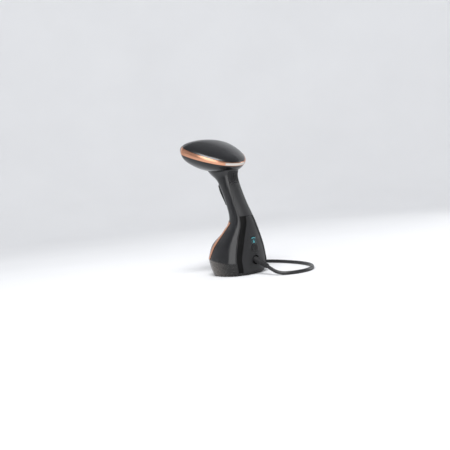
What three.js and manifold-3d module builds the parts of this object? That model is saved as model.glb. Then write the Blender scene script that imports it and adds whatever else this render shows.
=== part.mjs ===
// A hand-held garment steamer on its mains lead, as an assembly of its real pieces, in millimetres.
// +Z is up, the steam plate faces -Y, the lead leaves at +Y, and the base stands on Z = 0.
import * as THREE from "three";
import { mergeVertices } from "three/addons/utils/BufferGeometryUtils.js";
import Module from "manifold-3d";

const wasm = await Module();
wasm.setup();

// ---- driving dimensions ----
const GAP = 0.35; // between touching pieces
const WALL = 2.6; // moulded shells
const SIDES = 36; // sides of a body section
const MIDDLE_Y = -13.35; // the middle of the steamer, front to back, which the origin is under
const PAD_HEIGHT = 1.6;
const PAD_SIZE = [46, 42];

// Body sections, bottom to top: height, middle y, rise to the front, half width, front and rear half depth.
const SECTIONS = [
  { z: 1.6, y: 2, rise: 0, a: 51, front: 46, rear: 50 },
  { z: 31, y: 2, rise: 0.16, a: 58, front: 54, rear: 57 },
  { z: 60, y: 5, rise: 0.12, a: 51.5, front: 44, rear: 53 },
  { z: 88, y: 18, rise: 0.04, a: 36.5, front: 29, rear: 37 },
  { z: 112, y: 26, rise: 0, a: 24.5, front: 23, rear: 25 },
  { z: 150, y: 13, rise: -0.1, a: 20, front: 19.5, rear: 19.5 },
  { z: 193, y: -5, rise: -0.2, a: 20, front: 20, rear: 22 },
  { z: 214, y: -14, rise: -0.25, a: 25, front: 31, rear: 40 },
  { z: 238, y: -20, rise: -0.3, a: 33, front: 42, rear: 55 },
];
const CORNER = 2.3; // power of the rounded sections
const BELT = { z: 31, y: 2, rise: 0.16 };

// The spine panel's half width at a few heights, and the line that the spine lies behind.
const SPINE = [
  [4.6, 37],
  [32, 41],
  [70, 33],
  [112, 20],
  [186, 13.5],
];

// The ribbed grip behind the neck, above the spine panel, with its upright grooves.
const GRIP = { bottom: 186.5, top: 209, halfWidth: 13.2 };
const GRIP_GROOVES = [-7.5, -2.5, 2.5, 7.5];
const GROOVE_WIDTH = 1.8;
const GROOVE_DEPTH = 0.9;
const BODY_MIDDLE = [
  [2, 0],
  [2, 40],
  [18, 88],
  [26, 112],
  [13, 150],
  [-10, 205],
];

// The tank is the front of the base, before a leaning plane and under a sloping one.
const TANK_BACK = { y: -27, z: 38, lean: 0.586 };
const TANK_TOP = { z: 104, y: 0, rise: 0.3 };
const TANK_WALL = 2;
const TRIM_WIDTH = 8.5;

// Head: its frame has x across, y back from the plate and z up, and it is tipped so that
// the plate looks up a little.
const HEAD_TIP = THREE.MathUtils.degToRad(23);
const HEAD_ORIGIN = [0, -70, 264];
const HEAD_LENGTH = 107;
const HEAD_WIDEST = 14;
const HEAD_TAPER = 1.6; // smaller narrows the head's plan sooner behind its widest
const HEAD_ROUNDING = 2.1; // larger makes the head's rear end blunter
const HEAD_HALF_WIDTH = 70;
const PLATE_HALF_WIDTH = 64;
const HEAD_STATIONS = [
  { r: 0, up: 20, down: 32 },
  { r: 6, up: 21.3, down: 34.5 },
  { r: 16, up: 21.8, down: 36.5 },
  { r: 34, up: 20.8, down: 37 },
  { r: 54, up: 18.4, down: 34 },
  { r: 72, up: 15.2, down: 29.5 },
  { r: 88, up: 11.8, down: 23.5 },
  { r: 98, up: 8.8, down: 17 },
  { r: 104, up: 6, down: 10.5 },
  { r: 106.5, up: 3, down: 4 },
];
const BAND_FRONT = 7;
const BAND_REAR = 3.4;
const INSERT_FROM = 100.5;

// Handle frame: z runs up along the handle, y points back.
const HANDLE_LEAN = THREE.MathUtils.degToRad(22.7);
const HANDLE_ORIGIN = [0, 13, 150];
const TRIGGER_WIDTH = 19;
const TRIGGER_PIN_RADIUS = 1.5;

// Controls on the spine.
const BUTTON_Z = 52;
const BUTTON_RADIUS = 7.5;
const LENS_Z = 68.5;
const LENS_SIZE = [14, 14.4];

// Mains lead.
const CORD_DIAMETER = 7;
const CORD_SIDES = 8;
const BUSHING_FOOT = [0, 54, 31];
const BUSHING_DROP = THREE.MathUtils.degToRad(21);
const BUSHING_LENGTH = 38;
const COIL_CENTRE = [-78, -92];
const COIL_RADIUS = 38.5;
const COIL_HALF_WIDTH = 7.6;
const COIL_HEIGHT = 28;
// From the top turn down to the plug, which lies on the ground.
const TAIL_ROUTE = [
  [-120, -121, 18.5],
  [-120, -133, 12.6],
  [-120, -142, 9.8],
  [-120, -150, 9],
];
const PLUG_AT = [-120, -150.9, 9];
const PLUG_SIZE = [27, 36, 18];
const PIN_SPACING = 19;
// The lead on the ground, from the bushing to the coil.
const CORD_ROUTE = [
  [0, 99, 12.6],
  [-2, 112, 6.8],
  [-8, 124, 4],
  [-20, 135, 3.5],
  [-38, 142, 3.5],
  [-60, 142, 3.5],
  [-84, 131, 3.5],
  [-106, 108, 3.5],
  [-118, 84, 3.5],
  [-125, 56, 3.5],
  [-128, 26, 3.5],
  [-128, -4, 3.5],
  [-124, -30, 3.5],
  [-121, -47, 3.5],
  [-120, -63, 3.5],
];

// ---- finishes ----
const finish = (color, roughness, metalness) => () =>
  new THREE.MeshStandardMaterial({ color, roughness, metalness });
const glossBlack = finish(0x141416, 0.2, 0);
const mattBlack = finish(0x232427, 0.6, 0);
const copper = finish(0xc98562, 0.28, 1);
const chrome = finish(0xd8d8da, 0.15, 1);
const castMetal = finish(0xa9abae, 0.45, 1);
const plateMetal = finish(0xb9bcc0, 0.3, 1);
const rubber = finish(0x1b1b1c, 0.85, 0);
const silicone = finish(0xb8bcc2, 0.7, 0);
const smokedPlastic = finish(0x4b4744, 0.2, 0);
const board = finish(0x1f5a3a, 0.6, 0);
const steel = finish(0x9a9ca0, 0.4, 1);
const brass = finish(0xb79a55, 0.35, 1);
const tealLens = finish(0x46b5bd, 0.3, 0);
const whitePlastic = finish(0xdedcd6, 0.5, 0);

// ---- solid helpers ----
const matrixOf = (position = [0, 0, 0], rotation = [0, 0, 0]) =>
  new THREE.Matrix4().compose(
    new THREE.Vector3(...position),
    new THREE.Quaternion().setFromEuler(new THREE.Euler(...rotation)),
    new THREE.Vector3(1, 1, 1),
  );

// A closed geometry as a manifold solid, moved by a matrix.
function solid(geometry, matrix = new THREE.Matrix4()) {
  const bare = new THREE.BufferGeometry();
  const source = geometry.index ? geometry.toNonIndexed() : geometry;
  bare.setAttribute("position", source.getAttribute("position").clone());
  bare.applyMatrix4(matrix);
  const merged = mergeVertices(bare, 1e-4);
  return new wasm.Manifold(
    new wasm.Mesh({
      numProp: 3,
      vertProperties: new Float32Array(merged.attributes.position.array),
      triVerts: new Uint32Array(merged.index.array),
    }),
  );
}

// A manifold solid as a flat-shaded geometry.
function geometryOf(body) {
  const { numProp, vertProperties, triVerts } = body.getMesh();
  const count = vertProperties.length / numProp;
  const positions = new Float32Array(count * 3);
  for (let i = 0; i < count; i++) {
    positions.set(vertProperties.subarray(i * numProp, i * numProp + 3), i * 3);
  }
  const geometry = new THREE.BufferGeometry();
  geometry.setAttribute("position", new THREE.BufferAttribute(positions, 3));
  geometry.setIndex(new THREE.BufferAttribute(triVerts, 1));
  return geometry.toNonIndexed();
}

// The largest of a solid's bodies.
function mainBody(body) {
  const bodies = body.decompose();
  return bodies.sort((p, q) => q.volume() - p.volume())[0];
}

const box = (size, position = [0, 0, 0], rotation) =>
  solid(new THREE.BoxGeometry(...size), matrixOf(position, rotation));

const rod = (radius, length, position = [0, 0, 0], rotation = [0, 0, 0], sides = 20) =>
  solid(new THREE.CylinderGeometry(radius, radius, length, sides), matrixOf(position, rotation));

const ACROSS = [0, 0, Math.PI / 2]; // turns a cylinder's axis onto x
const UPRIGHT = [Math.PI / 2, 0, 0]; // turns a cylinder's axis onto z

// A closed ring of rings: the skin through them, with a fan at each end.
function loft(rings) {
  const size = rings[0].length;
  const points = rings.flat();
  const middle = (ring) =>
    ring.reduce((sum, p) => sum.add(p), new THREE.Vector3()).divideScalar(size);
  const first = points.push(middle(rings[0])) - 1;
  const last = points.push(middle(rings[rings.length - 1])) - 1;
  const faces = [];
  for (let i = 0; i + 1 < rings.length; i++) {
    for (let k = 0; k < size; k++) {
      const next = (k + 1) % size;
      const [a, b] = [i * size + k, i * size + next];
      faces.push(a, b, b + size, a, b + size, a + size);
    }
  }
  const top = (rings.length - 1) * size;
  for (let k = 0; k < size; k++) {
    const next = (k + 1) % size;
    faces.push(first, next, k, last, top + k, top + next);
  }
  const geometry = new THREE.BufferGeometry().setFromPoints(points);
  geometry.setIndex(faces);
  return geometry;
}

// A flat outline of [y, z] points, extruded across x about x = middle.
function slab(outline, width, middle = 0) {
  const shape = new THREE.Shape(outline.map(([y, z]) => new THREE.Vector2(y, z)));
  const geometry = new THREE.ExtrudeGeometry(shape, { depth: width, bevelEnabled: false, curveSegments: 6 });
  const turn = new THREE.Matrix4().makeBasis(
    new THREE.Vector3(0, 1, 0),
    new THREE.Vector3(0, 0, 1),
    new THREE.Vector3(1, 0, 0),
  );
  return solid(geometry, matrixOf([middle - width / 2, 0, 0]).multiply(turn));
}

// An outline of [x, z] points, extruded along y from one y to another.
function prism(outline, from, to) {
  const shape = new THREE.Shape(outline.map(([x, z]) => new THREE.Vector2(x, z)));
  const geometry = new THREE.ExtrudeGeometry(shape, { depth: to - from, bevelEnabled: false });
  return solid(geometry, matrixOf([0, to, 0], [Math.PI / 2, 0, 0]));
}

const root = new THREE.Group();
root.position.y = -MIDDLE_Y;
const headGroup = new THREE.Group();
headGroup.position.set(...HEAD_ORIGIN);
headGroup.rotation.x = -HEAD_TIP;
const handleGroup = new THREE.Group();
handleGroup.position.set(...HANDLE_ORIGIN);
handleGroup.rotation.x = HANDLE_LEAN;
root.add(headGroup, handleGroup);
const HEAD = matrixOf(HEAD_ORIGIN, [-HEAD_TIP, 0, 0]);
const HANDLE = matrixOf(HANDLE_ORIGIN, [HANDLE_LEAN, 0, 0]);

function add(group, name, body, material) {
  const mesh = new THREE.Mesh(geometryOf(body), material());
  mesh.name = name;
  group.add(mesh);
  return mesh;
}

// ---- body skin ----
const power = (value, exponent) => Math.sign(value) * Math.abs(value) ** exponent;

// A smooth value between the listed sections, by Catmull-Rom.
function between(list, key, t) {
  const i = Math.min(Math.floor(t), list.length - 2);
  const f = t - i;
  const at = (k) => list[Math.min(Math.max(k, 0), list.length - 1)][key];
  const [a, b, c, d] = [at(i - 1), at(i), at(i + 1), at(i + 2)];
  const slope = 2 * a - 5 * b + 4 * c - d;
  const bend = -a + 3 * b - 3 * c + d;
  return 0.5 * (2 * b + (c - a) * f + slope * f * f + bend * f * f * f);
}

function bodyRing(t, inset) {
  const s = {};
  for (const key of ["z", "y", "rise", "a", "front", "rear"]) s[key] = between(SECTIONS, key, t);
  const ring = [];
  for (let k = 0; k < SIDES; k++) {
    const angle = (2 * Math.PI * k) / SIDES;
    const x = (s.a - inset) * power(Math.cos(angle), 2 / CORNER);
    const depth = (Math.sin(angle) < 0 ? s.front : s.rear) - inset;
    const y = depth * power(Math.sin(angle), 2 / CORNER);
    ring.push(new THREE.Vector3(x, s.y + y, s.z - s.rise * y));
  }
  return ring;
}

// The whole body as a solid, a little smaller all round by inset.
function bodySolid(inset) {
  const rings = [];
  const perSection = [2, 2, 3, 3, 2, 2, 2, 2];
  perSection.forEach((steps, i) => {
    for (let k = 0; k < steps; k++) rings.push(bodyRing(i + k / steps, inset));
  });
  rings.push(bodyRing(SECTIONS.length - 1, inset));
  if (inset > 0) rings[0].forEach((p) => p.setZ(p.z + WALL));
  return solid(loft(rings));
}

// The half space above (side 1) or below (side -1) the belt, moved by offset.
function beltHalf(side, offset) {
  const far = 400;
  const z = (y) => BELT.z - BELT.rise * (y - BELT.y) + offset;
  return slab(orient([[-far, z(-far)], [far, z(far)], [far, side * far], [-far, side * far]]), far);
}

// An outline turned so that it runs counter-clockwise.
function orient(outline) {
  const shape = outline.map(([x, y]) => new THREE.Vector2(x, y));
  return THREE.ShapeUtils.isClockWise(shape) ? outline.slice().reverse() : outline;
}

function tankSpace(grow) {
  const far = 200;
  const topZ = (y) => TANK_TOP.z - TANK_TOP.rise * (y - TANK_TOP.y) + grow;
  const backY = (z) => TANK_BACK.y + TANK_BACK.lean * (z - TANK_BACK.z) + grow;
  // Where the leaning back meets the sloping top.
  const cornerZ = (TANK_TOP.z + grow - TANK_TOP.rise * (TANK_BACK.y + grow - TANK_BACK.lean * TANK_BACK.z)) /
    (1 + TANK_TOP.rise * TANK_BACK.lean);
  const outline = [
    [-far, -far],
    [backY(-far), -far],
    [backY(cornerZ), cornerZ],
    [-far, topZ(-far)],
  ];
  return slab(orient(outline), far);
}

// The rear strip of the body, between the spine panel's edges, grown by a gap.
function spineSpace(grow) {
  const right = SPINE.map(([z, x]) => [x + grow, z]);
  const left = SPINE.map(([z, x]) => [-x - grow, z]).reverse();
  right[0][1] -= grow;
  left[left.length - 1][1] -= grow;
  right[right.length - 1][1] += grow;
  left[0][1] += grow;
  const strip = prism(orient([...right, ...left]), -40, 90);
  const far = 200;
  const behind = [...BODY_MIDDLE, [far, 260], [far, 0]];
  return strip.intersect(slab(orient(behind), far));
}

// The space of the neck grip, grown by a gap.
function gripSpace(grow) {
  const [x, low, high] = [GRIP.halfWidth + grow, GRIP.bottom - grow, GRIP.top + grow];
  return prism(orient([[-x, low], [x, low], [x, high], [-x, high]]), -12, 60);
}

// ---- head skin, in the head's own frame ----
function headHalfWidth(r) {
  if (r < HEAD_WIDEST) {
    const rise = Math.sin((Math.max(r, 0) / HEAD_WIDEST) * (Math.PI / 2));
    return PLATE_HALF_WIDTH + (HEAD_HALF_WIDTH - PLATE_HALF_WIDTH) * rise;
  }
  const t = (r - HEAD_WIDEST) / (HEAD_LENGTH - HEAD_WIDEST);
  return HEAD_HALF_WIDTH * Math.max(0, 1 - t ** HEAD_TAPER) ** (1 / HEAD_ROUNDING);
}

function headRing(r, up, down, halfWidth, inset) {
  const ring = [];
  for (let k = 0; k < SIDES; k++) {
    const angle = (2 * Math.PI * k) / SIDES;
    const height = Math.sin(angle) < 0 ? down - inset : up - inset;
    const x = (halfWidth - inset) * Math.cos(angle);
    ring.push(new THREE.Vector3(x, r, height * Math.sin(angle)));
  }
  return ring.reverse();
}

// The ring of the head's front opening, moved to a distance from the plate.
function frontRing(r, inset) {
  const { up, down } = HEAD_STATIONS[0];
  return headRing(r, up, down, PLATE_HALF_WIDTH, inset);
}

// The head as a solid, smaller all round by inset; its front reaches forward by ahead.
function headSolid(inset, ahead = 0) {
  const rings = HEAD_STATIONS.map((station, i) => headRingAt(i, inset));
  if (ahead > 0) rings.unshift(frontRing(-ahead, inset));
  return solid(loft(rings.filter((ring) => ring)));
}

// The ring at a station number, or nothing where the inset has used up its height.
function headRingAt(t, inset) {
  const r = between(HEAD_STATIONS, "r", t);
  const up = between(HEAD_STATIONS, "up", t);
  const down = between(HEAD_STATIONS, "down", t);
  const halfWidth = headHalfWidth(r);
  if (Math.min(up, down, halfWidth) < inset + 0.5) return null;
  return headRing(r - Math.max(inset, 0) * (r / HEAD_LENGTH), up, down, halfWidth, inset);
}

// The wedge that holds the band, thicker at the plate than at the back.
function bandSpace(grow) {
  const [from, to] = [-20, 130];
  const half = (r) => THREE.MathUtils.mapLinear(r, 0, HEAD_LENGTH, BAND_FRONT, BAND_REAR) + grow;
  return slab(orient([[from, half(from)], [to, half(to)], [to, -half(to)], [from, -half(from)]]), 200);
}

// The half space behind (side 1) or before (side -1) a distance from the plate.
const behindPlate = (r, side) => box([300, 200, 300], [0, r + side * 100, 0]);

// An oval disc facing the plate's way, between two distances from it.
function ovalDisc(inset, from, to, rim = 0) {
  const rings = [frontRing(from + rim, inset), frontRing(to, inset)];
  if (rim > 0) rings.unshift(frontRing(from, inset + rim));
  return solid(loft(rings));
}

// ---- head pieces ----
const neckHole = bodySolid(WALL + 1.5);
const toHead = HEAD.clone().invert();
const inHead = (body) => body.transform(toHead.elements.slice());

function buildHead() {
  const outer = headSolid(0);
  const shell = outer.subtract(headSolid(WALL, 5));
  const above = box([300, 400, 100], [0, 50, 50]).subtract(bandSpace(GAP));
  const below = box([300, 400, 100], [0, 50, -50]).subtract(bandSpace(GAP));
  add(headGroup, "head_upper_shell", mainBody(shell.intersect(above)), glossBlack);
  const lower = shell.intersect(below).subtract(inHead(neckHole));
  add(headGroup, "head_lower_shell", mainBody(lower), glossBlack);

  const strip = headSolid(-0.5).subtract(headSolid(WALL, 5)).intersect(bandSpace(0));
  const sides = strip.intersect(behindPlate(INSERT_FROM, -1)).intersect(behindPlate(0, 1));
  add(headGroup, "copper_band_left", sides.intersect(box([100, 400, 100], [50, 0, 0])), copper);
  add(headGroup, "copper_band_right", sides.intersect(box([100, 400, 100], [-50, 0, 0])), copper);
  const insert = headSolid(-1.4).subtract(headSolid(WALL, 5)).intersect(bandSpace(-0.4));
  add(headGroup, "chrome_insert", mainBody(insert.intersect(behindPlate(INSERT_FROM + GAP, 1))), chrome);
}

const FRAME_INSET = 9;
const PLATE_MIDDLE_Z = -6;
const PLATE_FRONT = -7.5;
const PLATE_BACK = -2;
const BOILER_BACK = 17;

function steamHoles() {
  const holes = [];
  const rings = [[44, 11, 10], [22, 0, 2]];
  for (const [across, high, count] of rings) {
    for (let k = 0; k < count; k++) {
      const angle = (2 * Math.PI * (k + 0.5 * (high > 0 ? 1 : 0))) / count;
      holes.push([across * Math.cos(angle), PLATE_MIDDLE_Z + high * Math.sin(angle)]);
    }
  }
  return holes;
}

function buildSteamPlate() {
  const rings = [frontRing(-6.5, 6), frontRing(-5, 2.5), frontRing(-2, 0.6), frontRing(-GAP, 0.2)];
  const bezel = solid(loft(rings));
  const frame = bezel.subtract(ovalDisc(FRAME_INSET, -20, 20));
  add(headGroup, "plate_frame", frame, mattBlack);

  let plate = ovalDisc(FRAME_INSET + GAP, PLATE_FRONT, PLATE_BACK, 1.4);
  for (const [x, z] of steamHoles()) plate = plate.subtract(rod(1.7, 20, [x, PLATE_BACK, z], [0, 0, 0], 12));
  add(headGroup, "steam_plate", plate, plateMetal);

  const gasket = ovalDisc(FRAME_INSET + 1, PLATE_BACK + GAP, -GAP);
  add(headGroup, "plate_gasket", gasket.subtract(ovalDisc(FRAME_INSET + 5, -20, 20)), silicone);

  const boiler = ovalDisc(FRAME_INSET, 0, BOILER_BACK);
  const chamber = ovalDisc(FRAME_INSET + 5, -5, 9);
  const terminals = rod(2.4, 14, [26, BOILER_BACK - 1, 8]).add(rod(2.4, 14, [-26, BOILER_BACK - 1, 8]));
  const inlet = rod(6.5, 12, [0, BOILER_BACK + 2, -7]);
  add(headGroup, "boiler", boiler.subtract(chamber).add(terminals).add(inlet), castMetal);

  add(headGroup, "thermostat", rod(7.5, 6, [12, BOILER_BACK + 3 + GAP, 8]), steel);
  add(headGroup, "thermal_fuse", rod(2.5, 16, [-8, BOILER_BACK + 3, 10], ACROSS), brass);
}

// ---- body pieces ----
const bodyOuter = bodySolid(0);
const bodyInner = bodySolid(WALL);
const bodyShell = bodyOuter.subtract(bodyInner);
const headRoom = headSolid(-GAP, 12).transform(HEAD.elements.slice());
const triggerRoom = box([TRIGGER_WIDTH + 1.2, 50, 54], [0, -30, 24]).transform(HANDLE.elements.slice());

function bushingMatrix() {
  return matrixOf(BUSHING_FOOT, [-BUSHING_DROP, 0, 0]);
}

const RELEASE_Z = 120;
const RELEASE_SIZE = [14, 9];

function buildShells() {
  const trimRoom = tankSpace(TRIM_WIDTH + 2 * GAP);
  const gripRoom = gripSpace(GAP);
  const release = box([RELEASE_SIZE[0] + 1, 30, RELEASE_SIZE[1] + 1], [0, 0, RELEASE_Z]);
  const screws = SHELL_SCREWS.map((at) => shellScrew(at, 0.3)).reduce((sum, s) => sum.add(s));
  const shell = bodyShell
    .intersect(beltHalf(1, GAP))
    .subtract(spineSpace(GAP))
    .subtract(gripRoom)
    .subtract(trimRoom)
    .subtract(headRoom)
    .subtract(triggerRoom)
    .subtract(release)
    .subtract(screws);
  const far = 400;
  const leftHalf = box([far, far, 2 * far], [far / 2 + GAP / 2, 0, 0]);
  const rightHalf = box([far, far, 2 * far], [-far / 2 - GAP / 2, 0, 0]);
  add(root, "body_shell_left", mainBody(shell.intersect(leftHalf)), glossBlack);
  add(root, "body_shell_right", mainBody(shell.intersect(rightHalf)), glossBlack);

  const recess = rod(9, 16, [0, 4, 0]).transform(bushingMatrix().elements.slice());
  const button = rod(BUTTON_RADIUS + 0.5, 30, [0, rearAt(BUTTON_Z), BUTTON_Z]);
  const lens = box([LENS_SIZE[0] + 0.7, 30, LENS_SIZE[1] + 0.7], [0, rearAt(LENS_Z), LENS_Z]);
  const spine = bodyShell.intersect(spineSpace(0)).subtract(headRoom);
  add(root, "rear_spine", mainBody(spine.subtract(recess).subtract(button).subtract(lens)), mattBlack);

  let skirt = bodyShell.intersect(beltHalf(-1, 0)).subtract(spineSpace(GAP)).subtract(recess);
  for (const at of BASE_SCREWS) skirt = skirt.subtract(baseScrew(at, 0.3));
  add(root, "base_cover", mainBody(skirt), smokedPlastic);
}

const SHELL_SCREWS = [
  [-2, -24],
  [4, 34],
];
const BASE_SCREWS = [
  [33, -27],
  [-33, -27],
  [33, 29],
  [-33, 29],
];

// A cross screw through the handle, with its head in the right shell.
function shellScrew([y, z], grow) {
  const head = rod(2.8 + grow, 2.2 + grow, [-18.4, y, z], ACROSS, 16);
  const shank = rod(1.5 + grow, 27, [-5, y, z], ACROSS, 12);
  return head.add(shank).transform(HANDLE.elements.slice());
}

function baseScrew([x, y], grow) {
  const head = rod(3.2 + grow, 1.2 + 2 * grow, [x, y, 2.4 - grow], UPRIGHT, 16);
  const shank = rod(1.5 + grow, 6.2, [x, y, 5.2], UPRIGHT, 12);
  return head.add(shank);
}

function buildFasteners() {
  SHELL_SCREWS.forEach((at, i) => add(root, `shell_screw_${i + 1}`, shellScrew(at, 0), steel));
  BASE_SCREWS.forEach((at, i) => add(root, `base_screw_${i + 1}`, baseScrew(at, 0), steel));
}

// ---- water tank ----
const FILL_AT = [0, -40.2, 62];
const FILL_TILT = THREE.MathUtils.degToRad(-27);
const FILL_RADIUS = 11;
const FILL_NECK = 8.2;
const FILL_SEAT = 4.3;
const FILL_HINGE_Z = -13;
const CAP_FLAT_Z = -7.6; // the cap's flat lower edge
const VALVE_AT = [0, -19, 50.3];
const SLIDE_TILT = -Math.atan(BELT.rise);
const FILL = matrixOf(FILL_AT, [FILL_TILT, 0, 0]);
const inFill = (body) => body.transform(FILL.elements.slice());

function buildTank() {
  const outside = bodyOuter.intersect(tankSpace(0)).intersect(beltHalf(1, GAP));
  const inside = bodySolid(TANK_WALL)
    .intersect(tankSpace(-TANK_WALL))
    .intersect(beltHalf(1, GAP + TANK_WALL));
  const pocket = inFill(rod(FILL_RADIUS + 5, 9, [0, 2, 0])).intersect(outside);
  const hole = inFill(rod(FILL_NECK, 40));
  const recess = inFill(rod(FILL_RADIUS + 0.5, 30, [0, FILL_SEAT - 15, 0]));
  const hingeRoom = inFill(box([9, 30, 7], [0, FILL_SEAT + 0.6 - 15, FILL_HINGE_Z + 0.6]));
  const pinRoom = inFill(rod(1.1, 15, [0, 1.6, FILL_HINGE_Z], ACROSS, 12));
  // The shallow step that the cap's lower edge turns through.
  const edgeRoom = inFill(box([18.4, 30, 5], [0, -0.9 - 15, -8.5]));
  const valveHole = rod(4.2, 16, VALVE_AT, [SLIDE_TILT, 0, 0]);
  const tank = [hole, recess, hingeRoom, edgeRoom, pinRoom, valveHole].reduce(
    (body, cut) => body.subtract(cut),
    outside.subtract(inside).add(pocket),
  );
  add(root, "water_tank", mainBody(tank), smokedPlastic);

  const lug = rod(2.2, 8, [0, 1.6, FILL_HINGE_Z], ACROSS).add(box([8, 3.4, 6], [0, 1.7, FILL_HINGE_Z + 3]));
  const cap = rod(FILL_RADIUS, FILL_SEAT - 0.3 + 0.8, [0, (FILL_SEAT - 0.3 - 0.8) / 2, 0], [0, 0, 0], 28)
    .subtract(box([30, 30, 10], [0, 0, CAP_FLAT_Z - 5]))
    .add(rod(FILL_NECK - 0.5, 2.4, [0, FILL_SEAT + 0.6, 0]))
    .add(lug)
    .subtract(rod(1.1, 15, [0, 1.6, FILL_HINGE_Z], ACROSS, 12));
  add(root, "fill_cap", inFill(cap), mattBlack);
  add(root, "fill_cap_pin", inFill(rod(0.75, 13, [0, 1.6, FILL_HINGE_Z], ACROSS, 12)), steel);

  const turned = [SLIDE_TILT, 0, 0];
  const valve = rod(3.8, 21, VALVE_AT, turned).add(rod(5.6, 1.6, [0, -28.6, 51.8], turned));
  add(root, "tank_valve", valve, whitePlastic);

  const strip = bodySolid(-0.5).subtract(bodySolid(WALL));
  const trim = strip
    .intersect(tankSpace(GAP + TRIM_WIDTH).subtract(tankSpace(GAP)))
    .intersect(beltHalf(1, GAP));
  add(root, "tank_trim", mainBody(trim), copper);
}

// ---- springs and hoses ----
class Helix extends THREE.Curve {
  constructor(radius, length, turns) {
    super();
    Object.assign(this, { radius, length, turns });
  }

  getPoint(t) {
    const angle = 2 * Math.PI * this.turns * t;
    return new THREE.Vector3(this.radius * Math.cos(angle), this.length * t, this.radius * Math.sin(angle));
  }
}

// A round section of some sides, extruded along a curve.
function tube(curve, radius, steps, sides) {
  const points = [];
  for (let k = 0; k < sides; k++) {
    const angle = (2 * Math.PI * k) / sides;
    points.push(new THREE.Vector2(radius * Math.cos(angle), radius * Math.sin(angle)));
  }
  const options = { steps, extrudePath: curve, bevelEnabled: false };
  return solid(new THREE.ExtrudeGeometry(new THREE.Shape(points), options));
}

const through = (points) =>
  new THREE.CatmullRomCurve3(points.map((p) => new THREE.Vector3(...p)), false, "centripetal");

// A compression spring that stands along y from a point.
const spring = (radius, wire, length, turns, from) =>
  tube(new Helix(radius, length - 2 * wire, turns), wire, turns * 8, 4).translate([
    from[0],
    from[1] + wire,
    from[2],
  ]);

// ---- handle: the trigger and what it works ----
const TRIGGER_PIN = [-8, 45];
const TRIGGER_OUTLINE = [
  [-4.5, 48.6],
  [-19, 48.6],
  [-23.6, 44],
  [-25, 34],
  [-24.2, 20],
  [-22.6, 8],
  [-22.4, 0],
  [-15, -1],
  [-13, 6],
  [-13, 40],
  [-4.5, 41],
];

function buildTrigger() {
  const pinRoom = rod(TRIGGER_PIN_RADIUS + 0.35, 60, [0, ...TRIGGER_PIN], ACROSS, 16);
  const lever = slab(orient(TRIGGER_OUTLINE), TRIGGER_WIDTH - 5);
  const pad = slab(orient(TRIGGER_OUTLINE.filter(([y]) => y < -10)), TRIGGER_WIDTH)
    .intersect(box([TRIGGER_WIDTH, 12.5, 80], [0, -20.2, 25]));
  add(handleGroup, "trigger", lever.add(pad).subtract(pinRoom), mattBlack);
  add(handleGroup, "trigger_pin", rod(TRIGGER_PIN_RADIUS, 29, [0, ...TRIGGER_PIN], ACROSS, 16), steel);
  add(handleGroup, "trigger_spring", spring(3, 0.45, 7.6, 5, [0, -12.5, 9]), steel);
  add(handleGroup, "switch_bracket", box([20, 2.2, 40], [0, -3.4, 20]), mattBlack);
  const micro = box([7, 4.6, 13], [0, -7.2, 28]).add(box([2, 1.4, 3], [0, -9.9, 30]));
  add(handleGroup, "trigger_switch", micro, board);
}

// ---- spine: power button and indicator ----
const BOARD_Y = 46;

function buildControls() {
  const proud = bodySolid(-0.9);
  const back = BOARD_Y + 7.4;
  const button = rod(BUTTON_RADIUS, 30, [0, back + 15, BUTTON_Z], [0, 0, 0], 32).intersect(proud);
  add(root, "power_button", button, mattBlack);
  const lens = box([LENS_SIZE[0], 30, LENS_SIZE[1]], [0, BOARD_Y + 20, LENS_Z]).intersect(bodyOuter);
  add(root, "indicator_lens", lens, tealLens);
  add(root, "circuit_board", box([34, 1.6, 46], [0, BOARD_Y, 69]), board);
  add(root, "power_switch", box([8, 4, 8], [0, BOARD_Y + 3.2, BUTTON_Z]), steel);
  add(root, "indicator_light", box([4, 2.4, 4], [0, BOARD_Y + 2.4, LENS_Z]), whitePlastic);

  const skin = bodyOuter.subtract(bodySolid(GROOVE_DEPTH));
  let grip = bodyShell.intersect(gripSpace(0)).subtract(headRoom);
  for (const x of GRIP_GROOVES) {
    grip = grip.subtract(box([GROOVE_WIDTH, 80, 16], [x, 10, 198]).intersect(skin));
  }
  add(root, "neck_grip", mainBody(grip), rubber);

  const key = box([RELEASE_SIZE[0], 8, RELEASE_SIZE[1]], [0, 5.2, RELEASE_Z]);
  add(root, "tank_release", key, mattBlack);
  add(root, "release_spring", spring(2.6, 0.45, 5.6, 4, [0, 9.6, RELEASE_Z]), steel);
  add(root, "release_bracket", box([22, 2, 12], [0, 16.7, RELEASE_Z]), mattBlack);
}

// The rear centre line's y at a height.
function rearAt(z) {
  const steps = 160;
  let best = new THREE.Vector3(0, 0, -1e3);
  for (let i = 0; i <= steps; i++) {
    const p = bodyRing((7 * i) / steps, 0)[SIDES / 4];
    if (Math.abs(p.z - z) < Math.abs(best.z - z)) best = p;
  }
  return best.y;
}

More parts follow.
